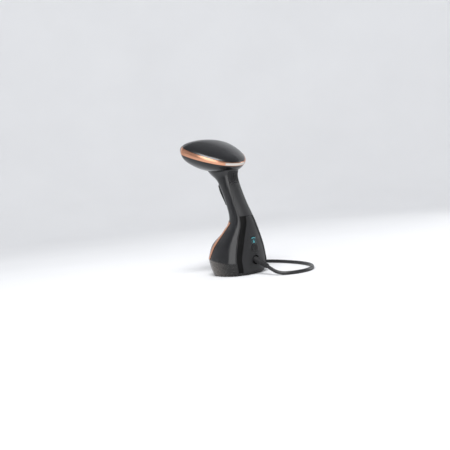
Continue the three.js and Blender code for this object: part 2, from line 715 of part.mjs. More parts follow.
// ---- base: what moves the water ----
function buildBase() {
  const layer = box([200, 200, 3], [0, 0, 6.5]);
  let chassis = bodySolid(WALL + 0.7).intersect(layer);
  for (const [x, y] of BASE_SCREWS) chassis = chassis.subtract(rod(1.9, 20, [x, y, 6], UPRIGHT, 12));
  add(root, "base_chassis", chassis, mattBlack);
  add(root, "pump_mount", box([34, 20, 1.6], [0, 9, 9.2]), rubber);
  const pump = rod(11, 38, [0, 9, 21.4], ACROSS, 24)
    .add(box([16, 20, 12], [-6, 9, 16.6]))
    .add(rod(2.6, 4, [0, 11, 33.5], UPRIGHT, 12))
    .add(rod(2.6, 4, [11, 11, 33.5], UPRIGHT, 12));
  add(root, "pump", pump, whitePlastic);
  const turned = [SLIDE_TILT, 0, 0];
  const socket = rod(8, 10, [0, -8.2, 48.57], turned)
    .subtract(rod(4.3, 9, [0, -9.8, 48.83], turned))
    .add(rod(2.6, 5, [0, -1, 47.5], turned, 12));
  add(root, "tank_socket", socket, mattBlack);
  const inlet = through([
    [0, 2.1, 47],
    [0, 7, 45.6],
    [0, 10.2, 41.5],
    [0, 11, 36],
  ]);
  add(root, "inlet_hose", tube(inlet, 3, 10, 8), silicone);
  const outlet = through([
    [11, 11, 36],
    [11, 13, 52],
    [9, 22, 78],
    [5, 31, 102],
    [1, 35, 124],
    [0, 22.5, 153],
    [0, 7.5, 190],
    [0, -3, 208],
    [0, -18, 225],
    [0, -36, 238.6],
    [0, -49.1, 244.5],
  ]);
  add(root, "steam_hose", tube(outlet, 3, 30, 8), silicone);
  const pad = new THREE.CylinderGeometry(1, 1, PAD_HEIGHT - GAP, 40);
  pad.scale(PAD_SIZE[0], 1, PAD_SIZE[1]);
  let sole = solid(pad, matrixOf([0, 2, (PAD_HEIGHT - GAP) / 2], UPRIGHT));
  for (const [x, y] of BASE_SCREWS) sole = sole.subtract(rod(4, 10, [x, y, 0], UPRIGHT, 16));
  add(root, "base_pad", mainBody(sole), rubber);
}

// ---- mains lead ----
function buildLead() {
  const profile = [
    [0, -4],
    [8.4, -4],
    [8.4, -1.6],
    [6.3, -1.6],
    [6.1, 20],
    [4.7, BUSHING_LENGTH],
    [0, BUSHING_LENGTH],
  ];
  const sleeve = new THREE.LatheGeometry(profile.map(([r, y]) => new THREE.Vector2(r, y)), 20);
  add(root, "cord_bushing", solid(sleeve, bushingMatrix()), rubber);

  const foot = new THREE.Vector3(...BUSHING_FOOT);
  const way = new THREE.Vector3(0, Math.cos(BUSHING_DROP), -Math.sin(BUSHING_DROP));
  const start = foot.addScaledVector(way, BUSHING_LENGTH + GAP);
  const run = through([start.toArray(), ...CORD_ROUTE]);
  add(root, "mains_cord", tube(run, CORD_DIAMETER / 2, 40, CORD_SIDES), rubber);

  const [inner, outer] = [COIL_RADIUS - COIL_HALF_WIDTH, COIL_RADIUS + COIL_HALF_WIDTH];
  const round = 2;
  const section = [
    [inner, round],
    [inner + round, 0],
    [outer - round, 0],
    [outer, round],
    [outer, COIL_HEIGHT - round],
    [outer - round, COIL_HEIGHT],
    [inner + round, COIL_HEIGHT],
    [inner, COIL_HEIGHT - round],
    [inner, round],
  ];
  const ring = new THREE.LatheGeometry(section.map(([r, y]) => new THREE.Vector2(r, y)), 32);
  const coil = solid(ring, matrixOf([...COIL_CENTRE, 0], UPRIGHT));
  add(root, "cord_coil", coil, rubber);

  const [tieWide, tieThick] = [12, 1.4];
  const span = 2 * (COIL_HALF_WIDTH + GAP + 0.4 + tieThick);
  const tieHeight = COIL_HEIGHT + 1.2 + tieThick;
  const strap = box([span, tieWide, tieHeight], [0, 0, tieHeight / 2])
    .subtract(box([span - 2 * tieThick, 40, 60], [0, 0, tieHeight - tieThick - 30]));
  const tieAt = [COIL_CENTRE[0] + COIL_RADIUS, COIL_CENTRE[1], 0];
  add(root, "cord_tie", strap.translate(tieAt), rubber);

  add(root, "cord_tail", tube(through(TAIL_ROUTE), CORD_DIAMETER / 2, 4, CORD_SIDES), rubber);
  const sleeveLength = 22;
  const [plugX, plugY, plugZ] = PLUG_AT;
  const taper = new THREE.CylinderGeometry(4.4, 6.6, sleeveLength, 16);
  const body = solid(taper, matrixOf([plugX, plugY - sleeveLength / 2, plugZ])).add(
    box(PLUG_SIZE, [plugX, plugY - sleeveLength - PLUG_SIZE[1] / 2 + 1, plugZ]),
  );
  add(root, "plug_body", body, mattBlack);
  const pinY = plugY - sleeveLength - PLUG_SIZE[1] + 1 - GAP - 9.5;
  for (const [name, side] of [["plug_pin_1", 1], ["plug_pin_2", -1]]) {
    add(root, name, rod(2.4, 19, [plugX + (side * PIN_SPACING) / 2, pinY, plugZ], [0, 0, 0], 14), brass);
  }
}

buildHead();
buildSteamPlate();
buildShells();
buildFasteners();
buildTank();
buildTrigger();
buildControls();
buildBase();
buildLead();

export default root;
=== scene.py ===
"""A hand-held garment steamer on its mains lead, standing on a pale studio floor.

Sizes are in millimetres in the body frame of the CAD part and turn into metres of the shared
frame through place(). Each sub-assembly is a class that holds its sizes, builds its pieces and
dresses them in their finishes.
"""

import logging
from dataclasses import dataclass, field
from enum import Enum
from math import atan, copysign, cos, floor, pi, radians, sin
from typing import Optional, Sequence

import bpy
from mathutils import Euler, Matrix, Vector


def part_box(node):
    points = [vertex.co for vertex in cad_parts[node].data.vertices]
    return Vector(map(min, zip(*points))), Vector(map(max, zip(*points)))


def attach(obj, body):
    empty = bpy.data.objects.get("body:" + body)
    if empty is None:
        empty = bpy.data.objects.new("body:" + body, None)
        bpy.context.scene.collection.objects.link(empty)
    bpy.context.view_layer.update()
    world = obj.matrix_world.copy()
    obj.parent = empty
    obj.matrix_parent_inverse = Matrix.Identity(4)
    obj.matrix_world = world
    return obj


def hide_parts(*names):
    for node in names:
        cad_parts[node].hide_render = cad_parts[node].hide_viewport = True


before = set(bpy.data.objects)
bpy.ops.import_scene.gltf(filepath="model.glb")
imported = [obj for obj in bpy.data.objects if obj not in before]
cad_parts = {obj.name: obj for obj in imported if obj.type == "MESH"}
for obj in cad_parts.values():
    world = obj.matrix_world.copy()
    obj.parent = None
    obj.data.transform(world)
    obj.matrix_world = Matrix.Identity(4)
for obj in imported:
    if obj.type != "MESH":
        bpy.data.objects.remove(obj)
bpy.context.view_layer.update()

logging.basicConfig(level=logging.INFO, format="%(levelname)s %(message)s")
LOG = logging.getLogger("steamer")

Point = Sequence[float]
Ring = list[Vector]
Pairs = Sequence[tuple[float, float]]
Piece = bpy.types.Object
Material = bpy.types.Material
Socket = bpy.types.NodeSocket

MM = 0.001
MIDDLE_Y = -13.35
GAP = 0.35
WALL = 2.6
FAR = 400.0
HANDLE_AT = (0, 13, 150)
HANDLE_LEAN = 22.7


# ---------------------------------------------------------------- studio
@dataclass
class Lamp:
    """One soft area lamp that looks at the steamer."""

    name: str
    place: Point
    size: tuple[float, float]
    watts: float
    aim: Point = (0.0, 0.0, 0.14)

    def hang(self) -> None:
        """Adds the lamp to the scene, turned to the point it lights."""
        data = bpy.data.lights.new(self.name, "AREA")
        data.shape = "RECTANGLE"
        data.size, data.size_y = self.size
        data.energy = self.watts
        lamp = bpy.data.objects.new(self.name, data)
        bpy.context.scene.collection.objects.link(lamp)
        lamp.location = Vector(self.place)
        lamp.rotation_euler = (Vector(self.aim) - lamp.location).to_track_quat("-Z", "Y").to_euler()


@dataclass
class Studio:
    """The camera, the soft lamps and the pale floor that turns up into a wall."""

    azimuth: float = 140.0
    elevation: float = 4.0
    roll: float = 5.5
    distance: float = 1.3
    aim: Point = (0.0, -0.01406, 0.0995)
    field_width: float = 0.945
    floor_radius: float = 1.5
    wall_radius: float = 2.6
    wall_height: float = 2.4
    bend_steps: int = 9
    surroundings: tuple[float, float, float, float] = (0.93, 0.95, 1.0, 1.0)
    surroundings_strength: float = 0.42

    def set_camera(self) -> None:
        """Adds the camera, turned and rolled as the steamer is seen."""
        data = bpy.data.cameras.new("camera")
        data.lens = data.sensor_width * self.distance / self.field_width
        camera = bpy.data.objects.new("camera", data)
        bpy.context.scene.collection.objects.link(camera)
        turn, lift, tilt = map(radians, (self.azimuth, self.elevation, self.roll))
        back = Vector((sin(turn) * cos(lift), -cos(turn) * cos(lift), sin(lift)))
        side = Vector((cos(turn), sin(turn), 0.0))
        up = back.cross(side)
        across = cos(tilt) * side - sin(tilt) * up
        over = sin(tilt) * side + cos(tilt) * up
        pose = Matrix((across, over, back)).transposed().to_4x4()
        pose.translation = Vector(self.aim) + self.distance * back
        camera.matrix_world = pose
        bpy.context.scene.camera = camera

    def light(self) -> None:
        """Hangs the lamps and sets the pale surroundings."""
        lamps = (
            Lamp("lamp_top", (0.6, 0.45, 1.45), (0.9, 0.9), 9.0),
            Lamp("lamp_side", (1.1, 0.587, 0.55), (0.9, 1.2), 6.5),
            Lamp("lamp_far", (-1.2, 0.4, 0.5), (0.4, 0.9), 2.6),
            Lamp("lamp_wall", (0.4, 0.5, 2.1), (1.0, 1.0), 34.0, aim=(-1.7, -2.0, 0.7)),
        )
        for lamp in lamps:
            lamp.hang()
        world = bpy.data.worlds.new("surroundings")
        bpy.context.scene.world = world
        world.use_nodes = True
        sky = world.node_tree.nodes["Background"]
        sky.inputs["Color"].default_value = self.surroundings
        sky.inputs["Strength"].default_value = self.surroundings_strength
        bpy.context.scene.view_settings.view_transform = "Standard"

    def lay_floor(self) -> None:
        """Builds the floor as one bowl with a low rounded rim."""
        bend = self.wall_radius - self.floor_radius
        profile = [(0.02, 0.0), (0.4, 0.0), (0.8, 0.0)]
        for k in range(self.bend_steps + 1):
            angle = pi / 2 * k / self.bend_steps
            profile.append((self.floor_radius + bend * sin(angle), bend * (1 - cos(angle))))
        profile.append((self.wall_radius, self.wall_height))
        rings = [circle_ring(radius / MM, height / MM, middle_y=MIDDLE_Y) for radius, height in profile]
        floor = wrap("studio_floor", rings, capped=False)
        floor.data.flip_normals()
        shade(floor, 60.0)
        floor.data.materials.clear()
        floor.data.materials.append(Paper("studio_paper").make())


# ---------------------------------------------------------------- finishes
class Grain(Enum):
    """How a finish's fine pattern is stretched along x, y and z."""

    EVEN = (1.0, 1.0, 1.0)
    ACROSS = (0.06, 1.0, 1.0)
    UPRIGHT = (1.0, 1.0, 0.06)


class Nodes:
    """A short way to write one material's nodes."""

    def __init__(self, name: str) -> None:
        """Starts an empty material.

        Args:
            name: The material's name.
        """
        self.material = bpy.data.materials.new(name)
        self.material.use_nodes = True
        self.tree = self.material.node_tree
        self.shader = self.tree.nodes["Principled BSDF"]

    def add(self, kind: str, **values: object) -> bpy.types.Node:
        """Adds a node and sets its fields or sockets.

        Args:
            kind: The node's type name.
            **values: Fields by name, or sockets by name with _ for a space.

        Returns:
            The new node.
        """
        node = self.tree.nodes.new(kind)
        for key, value in values.items():
            if hasattr(node, key):
                setattr(node, key, value)
            else:
                node.inputs[key.replace("_", " ")].default_value = value
        return node

    def link(self, source: Socket, target: Socket) -> None:
        """Joins two sockets."""
        self.tree.links.new(source, target)

    def set(self, socket: str, value: object) -> None:
        """Sets a number or colour on the shader itself."""
        self.shader.inputs[socket].default_value = value

    def place(self, stretch: Point = (1.0, 1.0, 1.0), coordinate: str = "Object") -> Socket:
        """Gives the pattern's coordinates.

        Args:
            stretch: The scale along each axis.
            coordinate: The output of Texture Coordinate.

        Returns:
            The vector socket to feed a texture.
        """
        source = self.add("ShaderNodeTexCoord")
        mapping = self.add("ShaderNodeMapping")
        mapping.inputs["Scale"].default_value = stretch
        self.link(source.outputs[coordinate], mapping.inputs["Vector"])
        return mapping.outputs["Vector"]

    def noise(self, vector: Socket, size: float, detail: float = 3.0) -> Socket:
        """Adds a noise whose patches measure about size metres.

        Args:
            vector: The coordinates.
            size: The patch size in metres.
            detail: How many finer layers it has.

        Returns:
            The noise's value.
        """
        node = self.add("ShaderNodeTexNoise", Scale=1.0 / size, Detail=detail, Roughness=0.55)
        self.link(vector, node.inputs["Vector"])
        return node.outputs["Fac"]

    def spread(self, value: Socket, low: float, high: float) -> Socket:
        """Maps a noise's usual span onto low to high."""
        node = self.add("ShaderNodeMapRange", From_Min=0.3, From_Max=0.7, To_Min=low, To_Max=high)
        self.link(value, node.inputs["Value"])
        return node.outputs["Result"]

    def blend(self, value: Socket, first: Point, second: Point) -> Socket:
        """Mixes two colours by a noise."""
        node = self.add("ShaderNodeMix", data_type="RGBA")
        self.link(self.spread(value, 0.0, 1.0), node.inputs[0])
        node.inputs[6].default_value = (*first, 1.0)
        node.inputs[7].default_value = (*second, 1.0)
        return node.outputs[2]

    def bump(self, height: Socket, depth: float, strength: float = 1.0) -> None:
        """Raises the surface by a height field.

        Args:
            height: The field.
            depth: The height in metres.
            strength: How strongly it shows.
        """
        node = self.add("ShaderNodeBump", Distance=depth, Strength=strength)
        self.link(height, node.inputs["Height"])
        self.link(node.outputs["Normal"], self.shader.inputs["Normal"])


@dataclass(frozen=True)
class Finish:
    """A moulded, cast or plated surface with uneven colour, uneven gloss and a fine grain."""

    name: str
    colour: tuple[float, float, float]
    second: tuple[float, float, float]
    gloss: tuple[float, float]
    metal: float = 0.0
    patch: float = 0.03
    grain: float = 0.0006
    depth: float = 0.00002
    strength: float = 0.35
    coat: float = 0.0
    clear: float = 0.0
    specular: float = 0.5
    run: Grain = Grain.EVEN

    def tone(self, nodes: Nodes) -> Socket:
        """The colour: two close tones in soft patches."""
        return nodes.blend(nodes.noise(nodes.place(), self.patch), self.colour, self.second)

    def make(self) -> Material:
        """Builds the node material.

        Returns:
            The material, ready to assign.
        """
        nodes = Nodes(self.name)
        along = nodes.place(self.run.value)
        fine = nodes.noise(along, self.grain, 2.0)
        smear = nodes.noise(along, self.patch * 0.35, 4.0)
        nodes.link(self.tone(nodes), nodes.shader.inputs["Base Color"])
        nodes.link(nodes.spread(smear, *self.gloss), nodes.shader.inputs["Roughness"])
        nodes.set("Metallic", self.metal)
        nodes.set("Coat Weight", self.coat)
        nodes.set("Coat Roughness", 0.08)
        nodes.set("Transmission Weight", self.clear)
        nodes.set("Specular IOR Level", self.specular)
        nodes.bump(fine, self.depth, self.strength)
        return nodes.material


@dataclass(frozen=True)
class Smoke(Finish):
    """A smoked finish that darkens towards the back, where black parts stand behind it."""

    pale_y: float = -0.005
    dark_y: float = 0.05
    dark: tuple[float, float, float] = (0.007, 0.007, 0.007)

    def tone(self, nodes: Nodes) -> Socket:
        """Adds the nodes of the colour.

        Args:
            nodes: The material's nodes.

        Returns:
            The finish's usual colour, mixed into the dark one along y.
        """
        axes = nodes.add("ShaderNodeSeparateXYZ")
        nodes.link(nodes.place(), axes.inputs["Vector"])
        fade = nodes.add("ShaderNodeMapRange", interpolation_type="SMOOTHSTEP", From_Min=self.pale_y,
                         From_Max=self.dark_y)
        nodes.link(axes.outputs["Y"], fade.inputs["Value"])
        mix = nodes.add("ShaderNodeMix", data_type="RGBA")
        nodes.link(fade.outputs["Result"], mix.inputs[0])
        nodes.link(super().tone(nodes), mix.inputs[6])
        mix.inputs[7].default_value = (*self.dark, 1.0)
        return mix.outputs[2]


@dataclass(frozen=True)
class Glow:
    """A lit sign: its own light, slightly uneven, under a glossy face."""

    name: str
    colour: tuple[float, float, float]
    power: float

    def make(self) -> Material:
        """Builds the node material.

        Returns:
            The material, ready to assign.
        """
        nodes = Nodes(self.name)
        tone = nodes.noise(nodes.place(), 0.002)
        dim = tuple(0.6 * value for value in self.colour)
        shown = nodes.blend(tone, dim, self.colour)
        nodes.link(shown, nodes.shader.inputs["Base Color"])
        nodes.link(shown, nodes.shader.inputs["Emission Color"])
        nodes.set("Emission Strength", self.power)
        nodes.link(nodes.spread(tone, 0.2, 0.35), nodes.shader.inputs["Roughness"])
        return nodes.material


@dataclass(frozen=True)
class Paper:
    """The studio floor's pale matt paper."""

    name: str
    colour: Point = (0.80, 0.805, 0.815)
    second: Point = (0.83, 0.835, 0.845)

    def make(self) -> Material:
        """Builds the node material.

        Returns:
            The material, ready to assign.
        """
        nodes = Nodes(self.name)
        tone = nodes.noise(nodes.place(), 0.5)
        nodes.link(nodes.blend(tone, self.colour, self.second), nodes.shader.inputs["Base Color"])
        nodes.set("Roughness", 0.9)
        nodes.set("Specular IOR Level", 0.2)
        return nodes.material


GLOSS_BLACK = Finish("gloss_black", (0.006, 0.006, 0.007), (0.008, 0.008, 0.009), (0.14, 0.2), coat=0.15,
                     patch=0.05, grain=0.004, depth=0.00001, strength=0.08)
HEAD_BLACK = Finish("head_black", (0.004, 0.004, 0.005), (0.006, 0.006, 0.007), (0.18, 0.25), patch=0.05,
                    grain=0.0009, depth=0.00001, strength=0.12)
MATT_BLACK = Finish("matt_black", (0.007, 0.007, 0.008), (0.010, 0.010, 0.010), (0.42, 0.52), grain=0.0007,
                    depth=0.00004, strength=0.4, specular=0.3)
PANEL_BLACK = Finish("panel_black", (0.017, 0.017, 0.018), (0.021, 0.021, 0.022), (0.42, 0.52), grain=0.0007,
                     depth=0.00004, strength=0.4, specular=0.35)
# Painted shade: the near-black colour of the sheet in the rear panel's sunken border, which stands for the
# shade in that recess.
PAINTED_SHADE_BLACK = Finish("deep_black", (0.003, 0.003, 0.003), (0.004, 0.004, 0.004), (0.5, 0.6), grain=0.0007,
                    depth=0.00002, strength=0.3, specular=0.12)
SMOKED = Smoke("smoked", (0.068, 0.058, 0.050), (0.074, 0.064, 0.056), (0.24, 0.3), grain=0.001,
               depth=0.00001, strength=0.12)
TANK_SMOKE = Finish("tank_smoke", (0.10, 0.088, 0.078), (0.13, 0.115, 0.10), (0.05, 0.1), clear=0.75,
                    grain=0.003, depth=0.00001, strength=0.1)
COPPER = Finish("copper", (0.66, 0.32, 0.20), (0.72, 0.37, 0.24), (0.17, 0.24), metal=1.0, grain=0.0005,
                depth=0.000006, strength=0.25, run=Grain.ACROSS)
CHROME = Finish("chrome", (0.58, 0.55, 0.51), (0.66, 0.63, 0.59), (0.05, 0.11), metal=1.0, grain=0.002,
                depth=0.000005, strength=0.15)
CAST = Finish("cast_metal", (0.36, 0.36, 0.37), (0.46, 0.46, 0.47), (0.42, 0.6), metal=1.0, grain=0.0012,
              depth=0.00012, strength=0.6)
PLATE = Finish("plate_metal", (0.55, 0.55, 0.56), (0.63, 0.63, 0.64), (0.26, 0.4), metal=1.0, grain=0.0005,
               depth=0.00002, strength=0.4, run=Grain.ACROSS)
RUBBER = Finish("rubber", (0.012, 0.012, 0.013), (0.018, 0.018, 0.019), (0.48, 0.62), grain=0.0006,
                depth=0.00005, strength=0.5, specular=0.35)
CORD_JACKET = Finish("cord_jacket", (0.010, 0.010, 0.011), (0.015, 0.015, 0.016), (0.28, 0.4), grain=0.0012,
                     depth=0.00003, strength=0.3)
SILICONE = Finish("silicone", (0.50, 0.52, 0.55), (0.60, 0.62, 0.65), (0.4, 0.55), grain=0.0015, clear=0.15)
BOARD = Finish("board", (0.010, 0.075, 0.034), (0.014, 0.10, 0.045), (0.35, 0.5), grain=0.0009, patch=0.006)
STEEL = Finish("steel", (0.38, 0.38, 0.39), (0.46, 0.46, 0.47), (0.26, 0.4), metal=1.0, grain=0.0004,
               run=Grain.UPRIGHT)
BRASS = Finish("brass", (0.52, 0.38, 0.15), (0.60, 0.44, 0.19), (0.22, 0.36), metal=1.0, grain=0.0005)
LENS = Finish("lens", (0.004, 0.022, 0.026), (0.005, 0.032, 0.036), (0.08, 0.14), coat=0.5, patch=0.006)
WHITE = Finish("white", (0.62, 0.61, 0.57), (0.70, 0.69, 0.66), (0.38, 0.5), grain=0.0008)
TEAL_LIGHT = Glow("teal_light", (0.06, 0.30, 0.34), 0.32)


# ---------------------------------------------------------------- bench tools
def place(point: Point) -> Vector:
    """Turns body-frame millimetres into metres of the shared frame."""
    return Vector((point[0], point[1] - MIDDLE_Y, point[2])) * MM


def round_angles(count: int, shift: float = 0.0) -> list[float]:
    """Evenly spread angles round a circle, in radians."""
    return [2 * pi * (k + shift) / count for k in range(count)]


def circle_ring(radius: float, height: float, sides: int = 96, middle_y: float = 0.0) -> Ring:
    """A flat ring round an upright axis, in body-frame millimetres."""
    return [Vector((radius * cos(a), radius * sin(a) + middle_y, height)) for a in round_angles(sides)]


def tipped(at: Point, angle: float) -> Matrix:
    """A frame at a point, turned about x by an angle in radians."""
    return Matrix.Translation(at) @ Euler((angle, 0, 0)).to_matrix().to_4x4()


def clear_choice() -> None:
    """Deselects every object."""
    bpy.ops.object.select_all(action="DESELECT")


def choose(piece: Piece) -> None:
    """Makes one object the only chosen and the active one."""
    clear_choice()
    piece.select_set(True)
    bpy.context.view_layer.objects.active = piece


def started(name: str) -> Piece:
    """Names the primitive that was just added."""
    piece = bpy.context.object
    piece.name = name
    piece.data.name = name
    return piece


def wrap(name: str, rings: Sequence[Ring], capped: bool = True) -> Piece:
    """Skins a row of rings: a grid is added, its points are laid on the rings, and its seam is merged.

    Args:
        name: The piece's name.
        rings: Rings of one length, in body millimetres.
        capped: Whether the end rings are closed.

    Returns:
        The skin.
    """
    sides = len(rings[0])
    clear_choice()
    bpy.ops.mesh.primitive_grid_add(x_subdivisions=sides, y_subdivisions=len(rings) - 1, size=1)
    piece = started(name)
    flat = [value for ring in rings for point in (*ring, ring[0]) for value in place(point)]
    piece.data.vertices.foreach_set("co", flat)
    piece.location = (0, 0, 0)
    bpy.ops.object.mode_set(mode="EDIT")
    bpy.ops.mesh.select_all(action="SELECT")
    bpy.ops.mesh.remove_doubles(threshold=1e-6)
    if capped:
        bpy.ops.mesh.fill_holes(sides=0)
    bpy.ops.mesh.select_all(action="SELECT")
    bpy.ops.mesh.normals_make_consistent(inside=False)
    bpy.ops.object.mode_set(mode="OBJECT")
    return piece


def slab(name: str, outline: Pairs, width: float, middle: float = 0.0) -> Piece:
    """A flat outline of [y, z] points, made solid across x."""
    low, high = middle - width / 2, middle + width / 2
    return wrap(name, [[Vector((x, y, z)) for y, z in outline] for x in (low, high)])


def prism(name: str, outline: Pairs, low: float, high: float) -> Piece:
    """A flat outline of [x, z] points, made solid along y."""
    return wrap(name, [[Vector((x, y, z)) for x, z in outline] for y in (low, high)])


def turned(piece: Piece, matrix: Matrix) -> Piece:
    """Moves a piece that was built round the body frame's origin by a body-frame matrix.

    Args:
        piece: The piece.
        matrix: The move, in millimetres.

    Returns:
        The same piece.
    """
    shift = Matrix.Translation((0, -MIDDLE_Y, 0))
    whole = Matrix.Scale(MM, 4) @ shift @ matrix @ shift.inverted() @ Matrix.Scale(1 / MM, 4)
    piece.data.transform(whole)
    return piece


def block(name: str, size: Point, middle: Point, matrix: Matrix = Matrix(), round_by: float = 0.0) -> Piece:
    """A box with rounded edges.

    Args:
        name: The piece's name.
        size: Its sides in millimetres.
        middle: Its middle.
        matrix: A further move.
        round_by: The edge radius, or nothing.

    Returns:
        The box.
    """
    clear_choice()
    bpy.ops.mesh.primitive_cube_add(size=1)
    piece = started(name)
    piece.data.transform(Matrix.Diagonal((*(value * MM for value in size), 1)))
    piece.data.transform(Matrix.Translation(place(middle)))
    if round_by:
        soften(piece, round_by, 3, 40)
    return turned(piece, matrix)


AXES = {"x": (0, pi / 2, 0), "y": (pi / 2, 0, 0), "z": (0, 0, 0)}


def rod(name: str, radius: float, length: float, middle: Point, axis: str = "y", matrix: Matrix = Matrix(),
        round_by: float = 0.0, sides: int = 48, far_radius: Optional[float] = None) -> Piece:
    """A round bar or cone with rounded rims.

    Args:
        name: The piece's name.
        radius: The radius at its low end.
        length: Its length.
        middle: Its middle.
        axis: The axis that it lies along.
        matrix: A further move.
        round_by: The rim radius, or nothing.
        sides: How many flats it has.
        far_radius: The radius at its high end, if another.

    Returns:
        The bar.
    """
    clear_choice()
    far = radius if far_radius is None else far_radius
    bpy.ops.mesh.primitive_cone_add(vertices=sides, radius1=radius * MM, radius2=far * MM, depth=length * MM)
    piece = started(name)
    turn = Euler(AXES[axis]).to_matrix().to_4x4()
    piece.data.transform(Matrix.Translation(place(middle)) @ turn)
    if round_by:
        soften(piece, round_by, 3, 40)
    return turned(piece, matrix)


def cut(piece: Piece, tool: Piece, way: str = "DIFFERENCE", keep: bool = False) -> Piece:
    """Cuts, joins or keeps the common part of two solids.

    Args:
        piece: The solid that is changed.
        tool: The solid that changes it.
        way: DIFFERENCE, INTERSECT or UNION.
        keep: Whether the tool stays in the scene.

    Returns:
        The changed piece.
    """
    choose(piece)
    modifier = piece.modifiers.new("cut", "BOOLEAN")
    modifier.object = tool
    modifier.operation = way
    modifier.solver = "MANIFOLD"
    bpy.ops.object.modifier_apply(modifier=modifier.name)
    if not keep:
        bpy.data.objects.remove(tool)
    return piece


def soften(piece: Piece, radius: float, steps: int = 2, angle: float = 50.0) -> None:
    """Rounds a piece's sharp edges by a bevel that is applied.

    Args:
        piece: The piece.
        radius: The bevel's width in millimetres.
        steps: How many facets it has.
        angle: The sharpest angle that is left alone, in degrees.
    """
    choose(piece)
    modifier = piece.modifiers.new("soften", "BEVEL")
    modifier.width = radius * MM
    modifier.segments = steps
    modifier.limit_method = "ANGLE"
    modifier.angle_limit = radians(angle)
    bpy.ops.object.modifier_apply(modifier=modifier.name)


def shade(piece: Piece, angle: float = 35.0) -> None:
    """Shades a piece smooth up to an angle in degrees."""
    choose(piece)
    bpy.ops.object.shade_smooth_by_angle(angle=radians(angle))


def copied(piece: Piece, name: str) -> Piece:
    """A copy of a piece with its own mesh."""
    twin = piece.copy()
    twin.data = piece.data.copy()
    twin.name = name
    bpy.context.scene.collection.objects.link(twin)
    return twin


def finish_piece(piece: Piece, finish: Finish | Glow, slot: str, *nodes: str, body: str = "root") -> Piece:
    """Dresses a piece and ties it to its body.

    Args:
        piece: The piece.
        finish: Its finish.
        slot: The record's material slot; not used.
        *nodes: The CAD nodes that it replaces.
        body: The body that it rides on.

    Returns:
        The same piece.
    """
    if piece.type == "MESH":
        shade(piece)
    piece.data.materials.clear()
    piece.data.materials.append(made(finish))
    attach(piece, body)
    if nodes:
        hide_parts(*nodes)
    LOG.info("%s rides %s", piece.name, body)
    return piece


MADE: dict[str, Material] = {}


def made(finish: Finish | Glow) -> Material:
    """The one material of a finish, built on its first use."""
    if finish.name not in MADE:
        MADE[finish.name] = finish.make()
    return MADE[finish.name]


def smooth_line(points: Sequence[Point], steps: int = 8) -> list[Vector]:
    """A Catmull-Rom line through points.

    Args:
        points: The points, in any unit.
        steps: How many steps each stretch gets.

    Returns:
        The line's points.
    """
    spots = [Vector(p) for p in points]
    spots = [2 * spots[0] - spots[1], *spots, 2 * spots[-1] - spots[-2]]
    line = []
    for a, b, c, d in zip(spots, spots[1:], spots[2:], spots[3:]):
        for k in range(steps):
            f = k / steps
            line.append(0.5 * (2 * b + (c - a) * f + (2 * a - 5 * b + 4 * c - d) * f**2
                               + (3 * b - a - 3 * c + d) * f**3))
    return [*line, spots[-2]]


def swept(name: str, line: Sequence[Vector], radius: float, sides: int = 3) -> Piece:
    """A round tube along a line, as one open curve with closed ends.

    Args:
        name: The piece's name.
        line: Its centre line, in body millimetres.
        radius: Its radius in millimetres.
        sides: The bevel resolution of its section.

    Returns:
        The curve object.
    """
    data = bpy.data.curves.new(name, "CURVE")
    data.dimensions = "3D"
    data.bevel_depth = radius * MM
    data.bevel_resolution = sides
    data.use_fill_caps = True
    spline = data.splines.new("POLY")
    spline.points.add(len(line) - 1)
    for spot, point in zip(spline.points, line):
        spot.co = (*place(point), 1.0)
    spline.use_smooth = True
    tube = bpy.data.objects.new(name, data)
    bpy.context.scene.collection.objects.link(tube)
    return tube


def as_mesh(piece: Piece) -> Piece:
    """Turns a curve into a mesh."""
    choose(piece)
    bpy.ops.object.convert(target="MESH")
    return bpy.context.object


